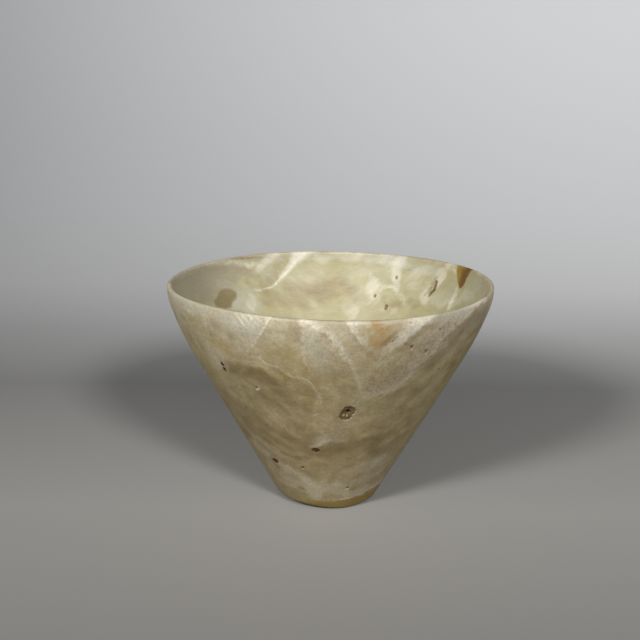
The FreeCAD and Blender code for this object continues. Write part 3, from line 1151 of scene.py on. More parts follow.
@dataclass
class StoneCup:
    """The cup itself: one turned body of stone, with its uneven rim, worn foot and natural pits.

    Attributes:
        sizes: The cup's real sizes.
        view: The photograph's camera.
        columns: How many faces go round the cup.
        rim_waves: Height and turn in degrees of the rim's unevennesses that go round 1, 2 and 3 times.
        wave_foot_share: Share of the height above which the rim's unevenness is felt.
        pit_side and the field after it: Where a pit's side, and its darkening of brown stain and painted
            shade, start and end, in shares of its half width.
        bed_bow: How steeply the stone's beds climb to both sides, as height over width.
        bed_round: How wide the beds' round middle is.
    """

    sizes: CupSizes
    view: PhotoView
    columns: int = 360
    rim_waves: Path = ((0.79, 152.8), (0.28, 27.5), (0.28, 98.1))
    wave_foot_share: float = 0.45
    pit_margin: float = 0.9
    pit_cuts: int = 3
    pit_wobble: float = 0.22
    pit_side: Pair = (1.12, 0.62)
    # The pits' darkening, brown stain and painted shade: where it starts and ends, and how deep it reaches
    pit_darkening_edge: Pair = (1.4, 0.85)
    pit_darkening_depth: float = 1.4
    foot_wear: float = 0.9
    foot_wear_bearing: float = -128.0
    foot_wear_turn: Pair = (58.0, 12.0)
    ochre_height: float = 5.4
    ochre_waves: Path = ((2.8, 62.0), (0.0, 0.0), (0.8, 0.0))
    hollow_margin: Pair = (0.5, 1.0)
    skin: float = 0.9
    crown_blend: Pair = (-0.1, 0.3)
    # Painted shade on the crown's near side, which faces the camera: strongest along its inner edge, weaker
    # over the rest of the crown
    lip_shade: float = 0.85
    front_turn: Pair = (-0.1, -0.6)
    lip_shade_edge: Pair = (1.3, 0.8)
    thin_shade: float = 0.3
    bed_bow: float = 0.85
    bed_round: float = 16.0

    def build(self, finish: "Travertine") -> Object:
        """Makes the cup.

        Args:
            finish: The stone's finish.

        Returns:
            The cup as a plain mesh with its marks in vertex attributes.
        """
        stone = finish.material()
        cup = self.turned(stone)
        self.wear_foot(cup.data)
        self.sink_pits(cup.data)
        self.mark_stone(cup.data)
        return cup

    def turning_tree(self) -> NodeTree:
        """Makes the Geometry Nodes tree that turns the outline about the Z axis.

        Returns:
            The tree, which also makes the rim uneven.
        """
        counts = range(1, len(self.rim_waves) + 1)
        tree = shaping_tree("turned_cup", {
            "Outline": "Geometry", "Columns": "Int", "Height": "Float", "Wave Foot": "Float",
            **{f"Wave {count} {what}": "Float" for count in counts for what in ("Height", "Turn")},
            "Stone": "Material",
        }, "Cup")
        given = add_node(tree, "NodeGroupInput").outputs

        def counted(operation: str, first: Source, second: Source) -> Node:
            """Adds a node that works with whole numbers."""
            return add_node(tree, "FunctionNodeIntegerMath", {0: first, 1: second}, operation=operation)

        rows = add_node(tree, "GeometryNodeAttributeDomainSize", {"Geometry": given["Outline"]})
        across = counted("ADD", given["Columns"], 1)
        grid = add_node(tree, "GeometryNodeMeshGrid", {
            "Vertices X": rows.outputs["Point Count"], "Vertices Y": across,
        })
        place = add_node(tree, "GeometryNodeInputIndex")
        on_outline = add_node(tree, "GeometryNodeSampleIndex", {
            "Geometry": given["Outline"], "Value": add_node(tree, "GeometryNodeInputPosition"),
            "Index": counted("DIVIDE", place, across),
        }, data_type="FLOAT_VECTOR")
        section = add_node(tree, "ShaderNodeSeparateXYZ", {"Vector": on_outline})
        step = worked_out(tree, "DIVIDE", math.tau, given["Columns"])
        angle = worked_out(tree, "MULTIPLY", counted("MODULO", place, across), step)

        rise = 0.0
        for count in counts:
            turned = worked_out(tree, "MULTIPLY_ADD", angle, float(count), given[f"Wave {count} Turn"])
            wave = worked_out(tree, "SINE", turned)
            rise = worked_out(tree, "MULTIPLY_ADD", wave, given[f"Wave {count} Height"], rise)
        share = stretched(tree, section.outputs["Z"], given["Wave Foot"], given["Height"], way="SMOOTHSTEP")
        height = worked_out(tree, "MULTIPLY_ADD", rise, share, section.outputs["Z"])
        right, back = (
            worked_out(tree, "MULTIPLY", section.outputs["X"], worked_out(tree, way, angle))
            for way in ("COSINE", "SINE")
        )
        position = add_node(tree, "ShaderNodeCombineXYZ", {"X": right, "Y": back, "Z": height})
        turned = add_node(tree, "GeometryNodeSetPosition", {"Geometry": grid, "Position": position})
        closed = add_node(tree, "GeometryNodeMergeByDistance", {"Geometry": turned, "Distance": 0.01 * MM})
        outwards = add_node(tree, "GeometryNodeFlipFaces", {"Mesh": closed})
        smooth = add_node(tree, "GeometryNodeSetShadeSmooth", {"Geometry": outwards})
        return end_shaping(tree, smooth, given["Stone"], "Cup")

    def turned(self, stone: Material) -> Object:
        """Turns the cup's body from its outline.

        Args:
            stone: The stone's material.

        Returns:
            The body as a plain mesh.
        """
        outline = self.sizes.outline() * MM
        mesh = bpy.data.meshes.new("cup_outline")
        edges = [(place, place + 1) for place in range(len(outline) - 1)]
        mesh.from_pydata([(point.real, 0, point.imag) for point in outline], edges, [])
        values = {
            "Columns": self.columns,
            "Height": self.sizes.height * MM,
            "Wave Foot": self.sizes.height * self.wave_foot_share * MM,
            "Stone": stone,
        }
        for count, (height, turn) in enumerate(self.rim_waves, 1):
            values |= {f"Wave {count} Height": height * MM, f"Wave {count} Turn": math.radians(turn)}
        section = put_in_scene("cup_outline", mesh)
        return put_in_scene("stone_cup", made_by_nodes(section, self.turning_tree(), values, "stone_cup"))

    def wear_foot(self, mesh: Mesh) -> None:
        """Rubs the foot's edge down on the side that the cup was set down on.

        Args:
            mesh: The cup's mesh.
        """
        points = points_of(mesh)
        bearing = np.degrees(np.arctan2(points[:, 1], points[:, 0]))
        turn = np.abs((bearing - self.foot_wear_bearing + 180) % 360 - 180)
        radius = np.hypot(points[:, 0], points[:, 1])
        reach = self.sizes.foot_edge_radius
        edge = smoothstep(2 * reach, 0, np.abs(radius - self.sizes.foot_corner_radius) + points[:, 2])
        points[:, 2] += self.foot_wear * edge * smoothstep(*self.foot_wear_turn, turn)
        write_points(mesh, points)

    def sink_pits(self, mesh: Mesh) -> None:
        """Cuts the mesh finer round each pit and presses the pit into it.

        Args:
            mesh: The cup's mesh.
        """
        shape = bmesh.new()
        shape.from_mesh(mesh)
        for number, pit in enumerate(PITS):
            frame_of_pit = pit.frame(self.sizes)
            outward = frame_of_pit.col[2].xyz
            to_pit = frame_of_pit.inverted() @ Matrix.Scale(METRE, 4)
            reach = pit.length / 2 + self.pit_margin + self.sizes.wall_step
            near = [
                face for face in shape.faces
                if (to_pit @ face.calc_center_median()).length < reach and outward @ face.normal > 0
            ]
            edges = list({edge for face in near for edge in face.edges})
            bmesh.ops.subdivide_edges(shape, edges=edges, cuts=self.pit_cuts, use_grid_fill=True)
            shape.normal_update()
            for vertex in shape.verts:
                local = to_pit @ vertex.co
                if abs(local.z) > pit.depth or local.xy.length > reach or outward @ vertex.normal < 0:
                    continue
                wobble = noise.noise(Vector((local.x, local.y, 10.0 * number)) * 0.9)
                uneven = 1 + self.pit_wobble * wobble
                sink = float(smoothstep(*self.pit_side, pit.share_out(local.x, local.y) * uneven))
                vertex.co -= outward * pit.depth * sink * uneven * MM
        bmesh.ops.triangulate(shape, faces=[face for face in shape.faces if len(face.verts) > 4])
        shape.to_mesh(mesh)
        shape.free()

    def mark_stone(self, mesh: Mesh) -> None:
        """Writes all that the stone's finish reads into the cup's vertex attributes.

        Args:
            mesh: The cup's mesh.
        """
        points = points_of(mesh)
        views = chart_views(points, self.sizes, self.view)
        hollow = views[Chart.HOLLOW]
        dark_side = Cloud(HONEY_DARK_SIDE, 2.3, 0.9)
        marks = {
            **{bed.value: self.veins_in(bed, views) for bed in Bed},
            **{tint.value: self.clouds_of(tint, views) for tint in Tint},
            "honey_distance": inside_distance(HONEY_OUTLINE, hollow),
            "spot_distance": inside_distance(SPOT_OUTLINE, hollow),
            "beam_distance": inside_distance(BEAM_OUTLINE, hollow),
            "honey_dark_side": cloud_strength(dark_side, Chart.HOLLOW, hollow, self.sizes),
            "speck": self.specks(views[Chart.FRONT]),
            "foot_distance": self.foot_distance(points),
            "pit_stain_and_shade": self.pit_stain_and_shade(points),
            **self.skin_and_lip_shade(points),
            "bedding": (points[:, 2] - self.bed_bow * np.hypot(points[:, 0], self.bed_round)) * MM,
        }
        for name, values in marks.items():
            write_attribute(mesh, name, values)

    def skin_and_lip_shade(self, points: np.ndarray) -> dict[str, np.ndarray]:
        """Finds where the outer skin lies, which on the crown is partly painted shade, and where painted
        shade darkens the crown's near side.

        Args:
            points: The cup's vertices.

        Returns:
            How strong the skin and the crown's painted shade are at each vertex, by the names of their
            attributes.
        """
        sizes = self.sizes
        radius, height = np.hypot(points[:, 0], points[:, 1]), points[:, 2]
        middle = (sizes.radius_at(height, Wall.OUTER) + sizes.radius_at(height, Wall.INNER)) / 2
        on_outer = (radius > middle) | (height < sizes.floor_thickness)
        crown = waved(np.arctan2(points[:, 1], points[:, 0]), self.rim_waves) + sizes.height
        start, full = self.crown_blend
        crown -= sizes.lip_thickness / 2
        on_crown = smoothstep(crown + start, crown + full, height)
        inner_lip = sizes.rim_radius - sizes.lip_thickness
        # Painted shade on the crown: near side only, darkest along the inner edge
        near = smoothstep(*self.front_turn, points[:, 1] / radius.clip(1.0)) * (radius > inner_lip - 0.05)
        line = smoothstep(*self.lip_shade_edge, radius - inner_lip)
        shade_share = self.thin_shade + (1 - self.thin_shade) * line
        return {
            # On the crown the skin also tones down its brightness, as painted shade
            "skin_and_crown_shade": self.skin * np.maximum(on_outer, on_crown),
            "lip_painted_shade": self.lip_shade * near * on_crown * shade_share,
        }

    def veins_in(self, bed: Bed, views: dict[Chart, ChartView]) -> np.ndarray:
        """Lays a bed's veins over the mesh.

        Args:
            bed: The vein layer.
            views: The mesh as it shows in each chart.

        Returns:
            For each vertex the signed distance to its nearest vein, the vein's milkiness and its line.
        """
        count = len(views[Chart.BACK].unit)
        nearest = np.full(count, FAR)
        marks = np.zeros((count, 3))
        laid = ((name, vein) for name, veins in VEINS.items() for vein in veins if vein.bed is bed)
        for name, vein in laid:
            chart = views[name]
            path = smoothed(chart_path(name, vein.path, self.sizes))
            reach = (max(np.max(vein.fade), np.max(vein.spread)) * 2.5 + 3.0) / chart.unit[:, None]
            low, high = path.min(0), path.max(0)
            within = ((chart.places > low - reach) & (chart.places < high + reach)).all(1)
            chosen = np.nonzero(within & (chart.weight > 0))[0]
            lie = trace(path, chart.places[chosen], chart.unit[chosen])
            offset = lie.offset * vein.milky_side.value
            spread = along(vein.spread, lie.share)
            ends = chart.weight[chosen] * smoothstep(*VEIN_END, lie.past)
            depth_in = np.maximum(offset, 0) / along(vein.fade, lie.share)
            body = along(vein.body, lie.share) * np.exp(-BODY_FALL * depth_in) * ends
            body *= smoothstep(*BODY_END, depth_in) * smoothstep(*BODY_START, offset)
            line = along(vein.line, lie.share) * ends * smoothstep(*LINE_END, lie.distance / spread)
            seen = (np.maximum(body, line) > FAINT) | (marks[chosen, 1:].max(1) < FAINT)
            better = seen & (lie.distance < nearest[chosen])
            picked = chosen[better]
            nearest[picked] = lie.distance[better]
            kept = np.clip(offset / spread, -FARTHEST_KEPT, FARTHEST_KEPT)
            marks[picked] = np.stack([kept, body, line], axis=1)[better]
        return marks

    def clouds_of(self, tint: Tint, views: dict[Chart, ChartView]) -> np.ndarray:
        """Lays one tint's clouds over the mesh.

        Args:
            tint: The tint.
            views: The mesh as it shows in each chart.

        Returns:
            How strongly the tint shows at each vertex, from 0 to 1.
        """
        clear = np.ones(len(views[Chart.BACK].unit))
        for (chart, of_tint), shapes in CLOUDS.items():
            for cloud in shapes if of_tint is tint else ():
                clear *= 1 - cloud_strength(cloud, chart, views[chart], self.sizes)
        return 1 - clear

    def specks(self, front: ChartView) -> np.ndarray:
        """Finds each vertex's nearest dark speck.

        Args:
            front: The mesh as it shows in the front's chart.

        Returns:
            For each vertex the way to the speck, in millimetres sideways and down, and the speck's radius.
        """
        nearest = np.full(len(front.unit), FAR)
        marks = np.full((len(front.unit), 3), (FAR, FAR, 0.0))
        for right, down, radius in SPECKS:
            way = (front.places - (right, down)) * front.unit[:, None]
            distance = np.linalg.norm(way, axis=1)
            nearer = (distance < nearest) & (front.weight > 0.5)
            nearest[nearer] = distance[nearer]
            marks[nearer] = np.column_stack([way, radius * (distance < SPECK_REACH)])[nearer]
        return marks

    def foot_distance(self, points: np.ndarray) -> np.ndarray:
        """Measures how far vertices lie inside the ochre zone round the foot.

        Args:
            points: The cup's vertices.

        Returns:
            How far each vertex lies below the zone's upper edge, in millimetres.
        """
        sizes, height = self.sizes, points[:, 2]
        edge = self.ochre_height + waved(np.arctan2(points[:, 1], points[:, 0]), self.ochre_waves)
        under, outside = self.hollow_margin
        in_hollow = np.hypot(points[:, 0], points[:, 1]) < sizes.radius_at(height, Wall.INNER) + outside
        in_hollow &= height > sizes.floor_thickness - under
        return np.where(in_hollow, -FARTHEST_KEPT, np.clip(edge - height, -FARTHEST_KEPT, FARTHEST_KEPT))

    def pit_stain_and_shade(self, points: np.ndarray) -> np.ndarray:
        """Darkens the pits with brown stain and painted shade.

        Args:
            points: The cup's vertices.

        Returns:
            How dark each vertex is, from 0 to 1, as the pits' brown stain and painted shade.
        """
        strongest = np.zeros(len(points))
        for pit in PITS:
            lengthways, crossways, outwards = pit.local(points, self.sizes).T
            shade = pit.stain_and_shade * smoothstep(*self.pit_darkening_edge, pit.share_out(lengthways, crossways))
            strongest = np.maximum(strongest, shade * (np.abs(outwards) < pit.depth * self.pit_darkening_depth))
        return strongest


@dataclass(frozen=True)
class Travertine:
    """Calcite travertine, ground with sand, rubbed smooth and dulled by the ground it lay in.

    The eye gets a waxy, cloudy, olive-cream stone that is deeper in tone outside, where a thin brownish skin
    has formed, than in the clean hollow. Light enters it a few millimetres and glows through the thin lip,
    white calcite seams stay sharp on it, and it gleams only softly. Clouds and beds have the real stone's
    sizes. Its grain, 0.3 mm in the real stone, is drawn at 0.9 mm so that it shows.
    """

    body: str = "#ACA57E"
    pale_body: str = "#B3AC8A"
    # The skin's and the patina's tones by height are partly painted shade: they make the outer wall darker
    # and yellower down from the rim
    skin_high: str = "#C0B69C"
    skin_and_light_below: tuple[tuple[float, float, str], ...] = ((80.0, 66.0, "#D2C299"), (60.0, 24.0, "#C2B08A"))
    patina_high: str = "#F6F5F2"
    patina_and_shade_below: tuple[tuple[float, float, str], ...] = ((80.0, 68.0, "#DEDCD4"), (66.0, 40.0, "#E5E1D5"))
    tints: Mapping[Tint, tuple[str, float]] = field(default_factory=lambda: {
        Tint.HAZE: ("#BDBBAB", 0.75), Tint.GOLD: ("#B6A268", 0.7), Tint.SMOKE: ("#82704A", 0.85),
        Tint.MAUVE: ("#BCAA90", 0.8), Tint.UMBER: ("#A39A86", 0.9), Tint.MILK: ("#ECE7D8", 0.7),
        Tint.IRON: ("#A47B2E", 0.75),
    })
    dark_line: str = "#6E5A3A"
    ochre: str = "#A98E4A"
    honey: str = "#987A2F"
    honey_dark: str = "#64421B"
    spot: str = "#8C7F5C"
    speck: str = "#75603F"
    # Colour of the pits' brown stain and painted shade
    pit: str = "#806C46"
    # Colour of the painted shade on the crown's near side
    lip_shade: str = "#6F6550"
    roughness: float = 0.46
    refraction: float = 1.56
    light_depth: float = 3.6
    cloud_size: float = 26.0
    mottle_size: float = 7.0
    patch_size: float = 4.5
    wisp_size: float = 6.5
    grain_size: float = 0.9
    band_spacing: float = 5.0
    rubbing_size: float = 0.8
    speck_spacing: float = 2.2
    cloud_growth: float = 1.45
    cloud_gaps: tuple[float, ...] = (0.34, 0.66, 0.0, 0.62)
    raggedness: float = 0.6
    wander: float = 0.3
    wander_size: float = 4.5
    unevenness_size: float = 1.4
    line_width: float = 0.34
    edge_width: float = 0.2
    relief_height: float = 0.14

    def material(self) -> Material:
        """Makes the stone's material.

        Returns:
            The material, which reads the cup's vertex attributes and Object coordinates.
        """
        material = bpy.data.materials.new("rubbed_calcite_travertine")
        tree = emptied_tree(material)
        place = add_node(tree, "ShaderNodeTexCoord").outputs["Object"]
        fields = self.fields(tree, place)
        both = worked_out(tree, "ADD", fields["rubbing"], fields["grain"])
        relief = {
            "Height": worked_out(tree, "MULTIPLY", both, 0.5), "Distance": self.relief_height * MM,
            "Strength": 0.3,
        }
        end_material(tree, {
            "Base Color": self.coloured(tree, place, fields, self.seams(tree, place)),
            "Roughness": stretched(
                tree, fields["grain"], 0.0, 1.0, self.roughness - 0.07, self.roughness + 0.1,
            ),
            "IOR": self.refraction,
            "Normal": add_node(tree, "ShaderNodeBump", relief),
            "Subsurface Weight": 0.55,
            "Subsurface Radius": (1.0, 0.82, 0.5),
            "Subsurface Scale": self.light_depth * MM,
            "Specular IOR Level": 0.4,
        })
        return material

    def fields(self, tree: NodeTree, place: NodeSocket) -> dict[str, Node]:
        """Makes the stone's own unevenness in space.

        Args:
            tree: The material's tree.
            place: Object coordinates.

        Returns:
            A node for each field, by its name. Wisps and beds are drawn out along the stone's bedding.
        """
        sides = add_node(tree, "ShaderNodeSeparateXYZ", {"Vector": place}).outputs
        bedded = add_node(tree, "ShaderNodeCombineXYZ", {
            "X": worked_out(tree, "MULTIPLY", sides["X"], 0.62),
            "Y": worked_out(tree, "MULTIPLY", sides["Y"], 0.62),
            "Z": worked_out(tree, "MULTIPLY", carried(tree, "bedding"), 1.35),
        })
        round_cup = add_node(tree, "ShaderNodeVectorMath", {
            0: place, 1: (0.14, 0.14, 1.0),
        }, operation="MULTIPLY")
        fields = {
            name: lumps(tree, where, size, detail, roughness)
            for name, where, size, detail, roughness in (
                ("cloud", place, self.cloud_size, 3.0, 0.5),
                ("mottle", place, self.mottle_size, 5.0, 0.6),
                ("patch", place, self.patch_size, 7.0, 0.68),
                ("wisp", bedded, self.wisp_size, 8.0, 0.66),
                ("band", bedded, self.band_spacing, 5.0, 0.6),
                ("grain", place, self.grain_size, 3.0, 0.6),
                ("rubbing", round_cup, self.rubbing_size, 2.0, 0.5),
            )
        }
        scale = METRE / self.speck_spacing
        fields["specks"] = add_node(tree, "ShaderNodeTexVoronoi", {"Vector": place, "Scale": scale})
        return fields

    def seams(self, tree: NodeTree, place: NodeSocket) -> dict[str, Node]:
        """Draws the seams from the signed distances that the cup's mesh carries.

        Args:
            tree: The material's tree.
            place: Object coordinates.

        Returns:
            The white seams' bright lines, their milky bodies and the brown hairlines.
        """
        wander = lumps(tree, place, self.wander_size, 5.0, 0.6)
        shift = stretched(tree, wander, 0.3, 0.7, -self.wander, self.wander)
        drawn = {"line": 0.0, "body": 0.0, "dark": 0.0}
        for bed in Bed:
            laid = carried(tree, bed.value, "Vector")
            marks = add_node(tree, "ShaderNodeSeparateXYZ", {"Vector": laid}).outputs
            offset = worked_out(tree, "ADD", marks["X"], shift)
            away = worked_out(tree, "ABSOLUTE", offset)
            thin = stretched(tree, away, self.line_width * 1.7, self.line_width * 0.2, way="SMOOTHSTEP")
            found = {"dark" if bed is Bed.DARK else "line": (marks["Z"], thin)}
            if bed is not Bed.DARK:
                edge = stretched(tree, offset, -self.edge_width, self.edge_width, way="SMOOTHSTEP")
                found["body"] = (marks["Y"], edge)
            for part, (mark, shape) in found.items():
                mark = worked_out(tree, "MULTIPLY", mark, shape)
                drawn[part] = worked_out(tree, "MAXIMUM", drawn[part], mark)
        uneven = lumps(tree, place, self.unevenness_size, 3.0)
        strength = stretched(tree, uneven, 0.36, 0.62, 0.35, 1.0)
        return {part: worked_out(tree, "MULTIPLY", mark, strength) for part, mark in drawn.items()}

    def coloured(
        self, tree: NodeTree, place: NodeSocket, fields: dict[str, Node], seams: dict[str, Node],
    ) -> Node:
        """Lays the stone's colour on in layers, from the body to the specks.

        Args:
            tree: The material's tree.
            place: Object coordinates.
            fields: The stone's unevenness.
            seams: The seams' lines and bodies.

        Returns:
            The node that gives the colour.
        """
        def ranged(name: str, low: float, high: float, least: float = 0.0, most: float = 1.0) -> Node:
            """One of the stone's fields, stretched to a range."""
            return stretched(tree, fields[name], low, high, least, most)

        def times(value: Source, share: Source) -> Node:
            """A value, and as little of it as a share says."""
            return worked_out(tree, "MULTIPLY", value, share)

        def by_height(shades: tuple[tuple[float, float, str], ...]) -> list[tuple[Node, str]]:
            """Layers that come in between two heights, which are in millimetres."""
            return [(stretched(tree, height, low * MM, high * MM), shade) for low, high, shade in shades]

        height = add_node(tree, "ShaderNodeSeparateXYZ", {"Vector": place}).outputs["Z"]
        # Skin and patina by height, partly painted shade down the outer wall
        skin = laid_over(tree, linear(self.skin_high), by_height(self.skin_and_light_below))
        patina = laid_over(tree, linear(self.patina_high), by_height(self.patina_and_shade_below))
        skin_and_shade_share = carried(tree, "skin_and_crown_shade")
        worn = stretched(tree, skin_and_shade_share, 0.0, 0.9, 0.2, 1.0)
        masks = self.edged(tree, ranged("mottle", 0.3, 0.7, -self.raggedness, self.raggedness))
        gaps = {name: ranged(name, *self.cloud_gaps) for name in ("wisp", "patch")}
        broken = self.broken_clouds(tree, gaps)
        smoke, milk, iron = (self.tints[tint][0] for tint in (Tint.SMOKE, Tint.MILK, Tint.IRON))
        under = (Tint.GOLD, Tint.SMOKE, Tint.MAUVE, Tint.UMBER, Tint.HAZE, Tint.MILK)
        colour = laid_over(tree, linear(self.body), (
            (ranged("cloud", 0.36, 0.66), self.pale_body),
            (skin_and_shade_share, skin),
            (times(ranged("mottle", 0.58, 0.32, 0.0, 0.3), worn), smoke),
            (times(ranged("patch", 0.54, 0.34, 0.0, 0.38), worn), smoke),
            (times(ranged("patch", 0.54, 0.74, 0.0, 0.2), worn), milk),
            (ranged("band", 0.54, 0.34, 0.0, 0.16), smoke),
            (ranged("band", 0.54, 0.72, 0.0, 0.12), milk),
            *((broken[tint], self.tints[tint][0]) for tint in under),
            (times(masks["beam"], ranged("wisp", 0.3, 0.6, 0.5, 0.85)), milk),
            (masks["spot"], self.spot),
            (times(masks["foot"], ranged("mottle", 0.35, 0.6, 0.7, 1.0)), self.ochre),
            (seams["body"], milk),
            (seams["line"], milk),
            (ranged("rubbing", 0.5, 0.7, 0.0, 0.05), milk),
            (times(broken[Tint.MAUVE], ranged("grain", 0.54, 0.4, 0.0, 0.5)), smoke),
            (times(ranged("grain", 0.58, 0.34, 0.0, 0.3), worn), smoke),
            (seams["dark"], self.dark_line),
            (times(broken[Tint.IRON], ranged("grain", 0.4, 0.6, 0.25, 1.0)), iron),
            (masks["honey"], self.honey),
            (times(masks["honey"], carried(tree, "honey_dark_side")), self.honey_dark),
            (self.scattered_specks(tree, fields["specks"]), self.speck),
            (self.traced_specks(tree, ranged("grain", 0.35, 0.65, -0.22, 0.22)), self.speck),
            # Painted shade on the crown's near side
            (carried(tree, "lip_painted_shade"), self.lip_shade),
            # The pits' brown stain and painted shade
            (carried(tree, "pit_stain_and_shade"), self.pit),
        ))
        # The patina darkens the skin, partly as painted shade down the outer wall and over the crown
        dulled = {"Factor_Float": skin_and_shade_share, "A_Color": colour, "B_Color": patina}
        return add_node(tree, "ShaderNodeMix", dulled, data_type="RGBA", blend_type="MULTIPLY")

    def broken_clouds(self, tree: NodeTree, gaps: dict[str, Node]) -> dict[Tint, Node]:
        """Breaks the clouds up.

        Args:
            tree: The material's tree.
            gaps: Where streaky and patchy clouds have gaps.

        Returns:
            How strongly each tint shows.
        """
        broken = {}
        for tint in Tint:
            gap = gaps["wisp" if tint in (Tint.SMOKE, Tint.MILK) else "patch"]
            grown = worked_out(tree, "MULTIPLY", carried(tree, tint.value), self.cloud_growth)
            shown = worked_out(tree, "SUBTRACT", grown, gap, use_clamp=True)
            broken[tint] = worked_out(tree, "MULTIPLY", shown, self.tints[tint][1])
        return broken

    def edged(self, tree: NodeTree, ragged: Node) -> dict[str, Node]:
        """Gives the honey patch, the spot, the beam and the foot their soft, ragged edges.

        Args:
            tree: The material's tree.
            ragged: How far the edges are moved at each place.

        Returns:
            How strongly each of them shows.
        """
        return {
            name: stretched(
                tree, worked_out(tree, "ADD", carried(tree, f"{name}_distance"), ragged), -width, width,
            )
            for name, width in (("honey", 0.25), ("spot", 0.5), ("beam", 1.1), ("foot", 0.7))
        }

    def scattered_specks(self, tree: NodeTree, cells: Node) -> Node:
        """Scatters fine specks over the stone, in a few of the cells."""
        near = stretched(tree, cells, 0.13, 0.05)
        chosen = stretched(tree, cells.outputs["Color"], 0.62, 0.72, 0.0, 0.6)
        return worked_out(tree, "MULTIPLY", near, chosen)

    def traced_specks(self, tree: NodeTree, ragged: Node) -> Node:
        """Draws the photographed specks.

        Args:
            tree: The material's tree.
            ragged: How far the specks' edges are moved at each place, in millimetres.

        Returns:
            How strongly they show.
        """
        way = carried(tree, "speck", "Vector")
        flat = add_node(tree, "ShaderNodeVectorMath", {0: way, 1: (1.0, 1.0, 0.0)}, operation="MULTIPLY")
        away = add_node(tree, "ShaderNodeVectorMath", {0: flat}, operation="LENGTH").outputs["Value"]
        radius = add_node(tree, "ShaderNodeSeparateXYZ", {"Vector": way}).outputs["Z"]
        into = worked_out(tree, "SUBTRACT", radius, away)
        return stretched(tree, worked_out(tree, "ADD", into, ragged), 0.0, 0.2, 0.0, 0.8)


@dataclass(frozen=True)
class PitMatter:
    """Mineral or earth that has set in a pit: dull, crumbly and without any gleam.

    Its grain, 0.1 mm in the real thing, is drawn at 0.35 mm so that it shows close by.
    """

    name: str
    dark: str
    pale: str
    rust: str
    roughness: float = 0.86
    gleam: float = 0.25
    # Colour of the painted shade in the hole in the bed
    hole: str = "#1C130B"
    grain_size: float = 0.35
    grain_height: float = 0.1
    stain_size: float = 1.4

    def material(self) -> Material:
        """Makes the matter's material, on Object coordinates.

        Returns:
            The material.
        """
        material = bpy.data.materials.new(self.name)
        tree = emptied_tree(material)
        place = add_node(tree, "ShaderNodeTexCoord").outputs["Object"]
        grain = lumps(tree, place, self.grain_size, 4.0, 0.65)
        relief = {"Height": grain, "Distance": self.grain_height * MM, "Strength": 0.9}
        end_material(tree, {
            "Base Color": laid_over(tree, linear(self.dark), (
                (stretched(tree, grain, 0.36, 0.66), self.pale),
                (stretched(tree, lumps(tree, place, self.stain_size), 0.42, 0.6, 0.0, 0.8), self.rust),
                # Painted shade in the hole
                (carried(tree, "hole_painted_shade"), self.hole),
            )),
            "Roughness": self.roughness,
            "Normal": add_node(tree, "ShaderNodeBump", relief),
            "Specular IOR Level": self.gleam,
        })
        return material


CRUST = PitMatter("brown_iron_crust", "#5E4E34", "#847453", "#6B5535")
GRAIN = PitMatter("pale_calcite_grain", "#7F7152", "#A89A76", "#86704A", 0.95)
EARTH = PitMatter("dark_burial_earth", "#21180F", "#5B442B", "#66432A")


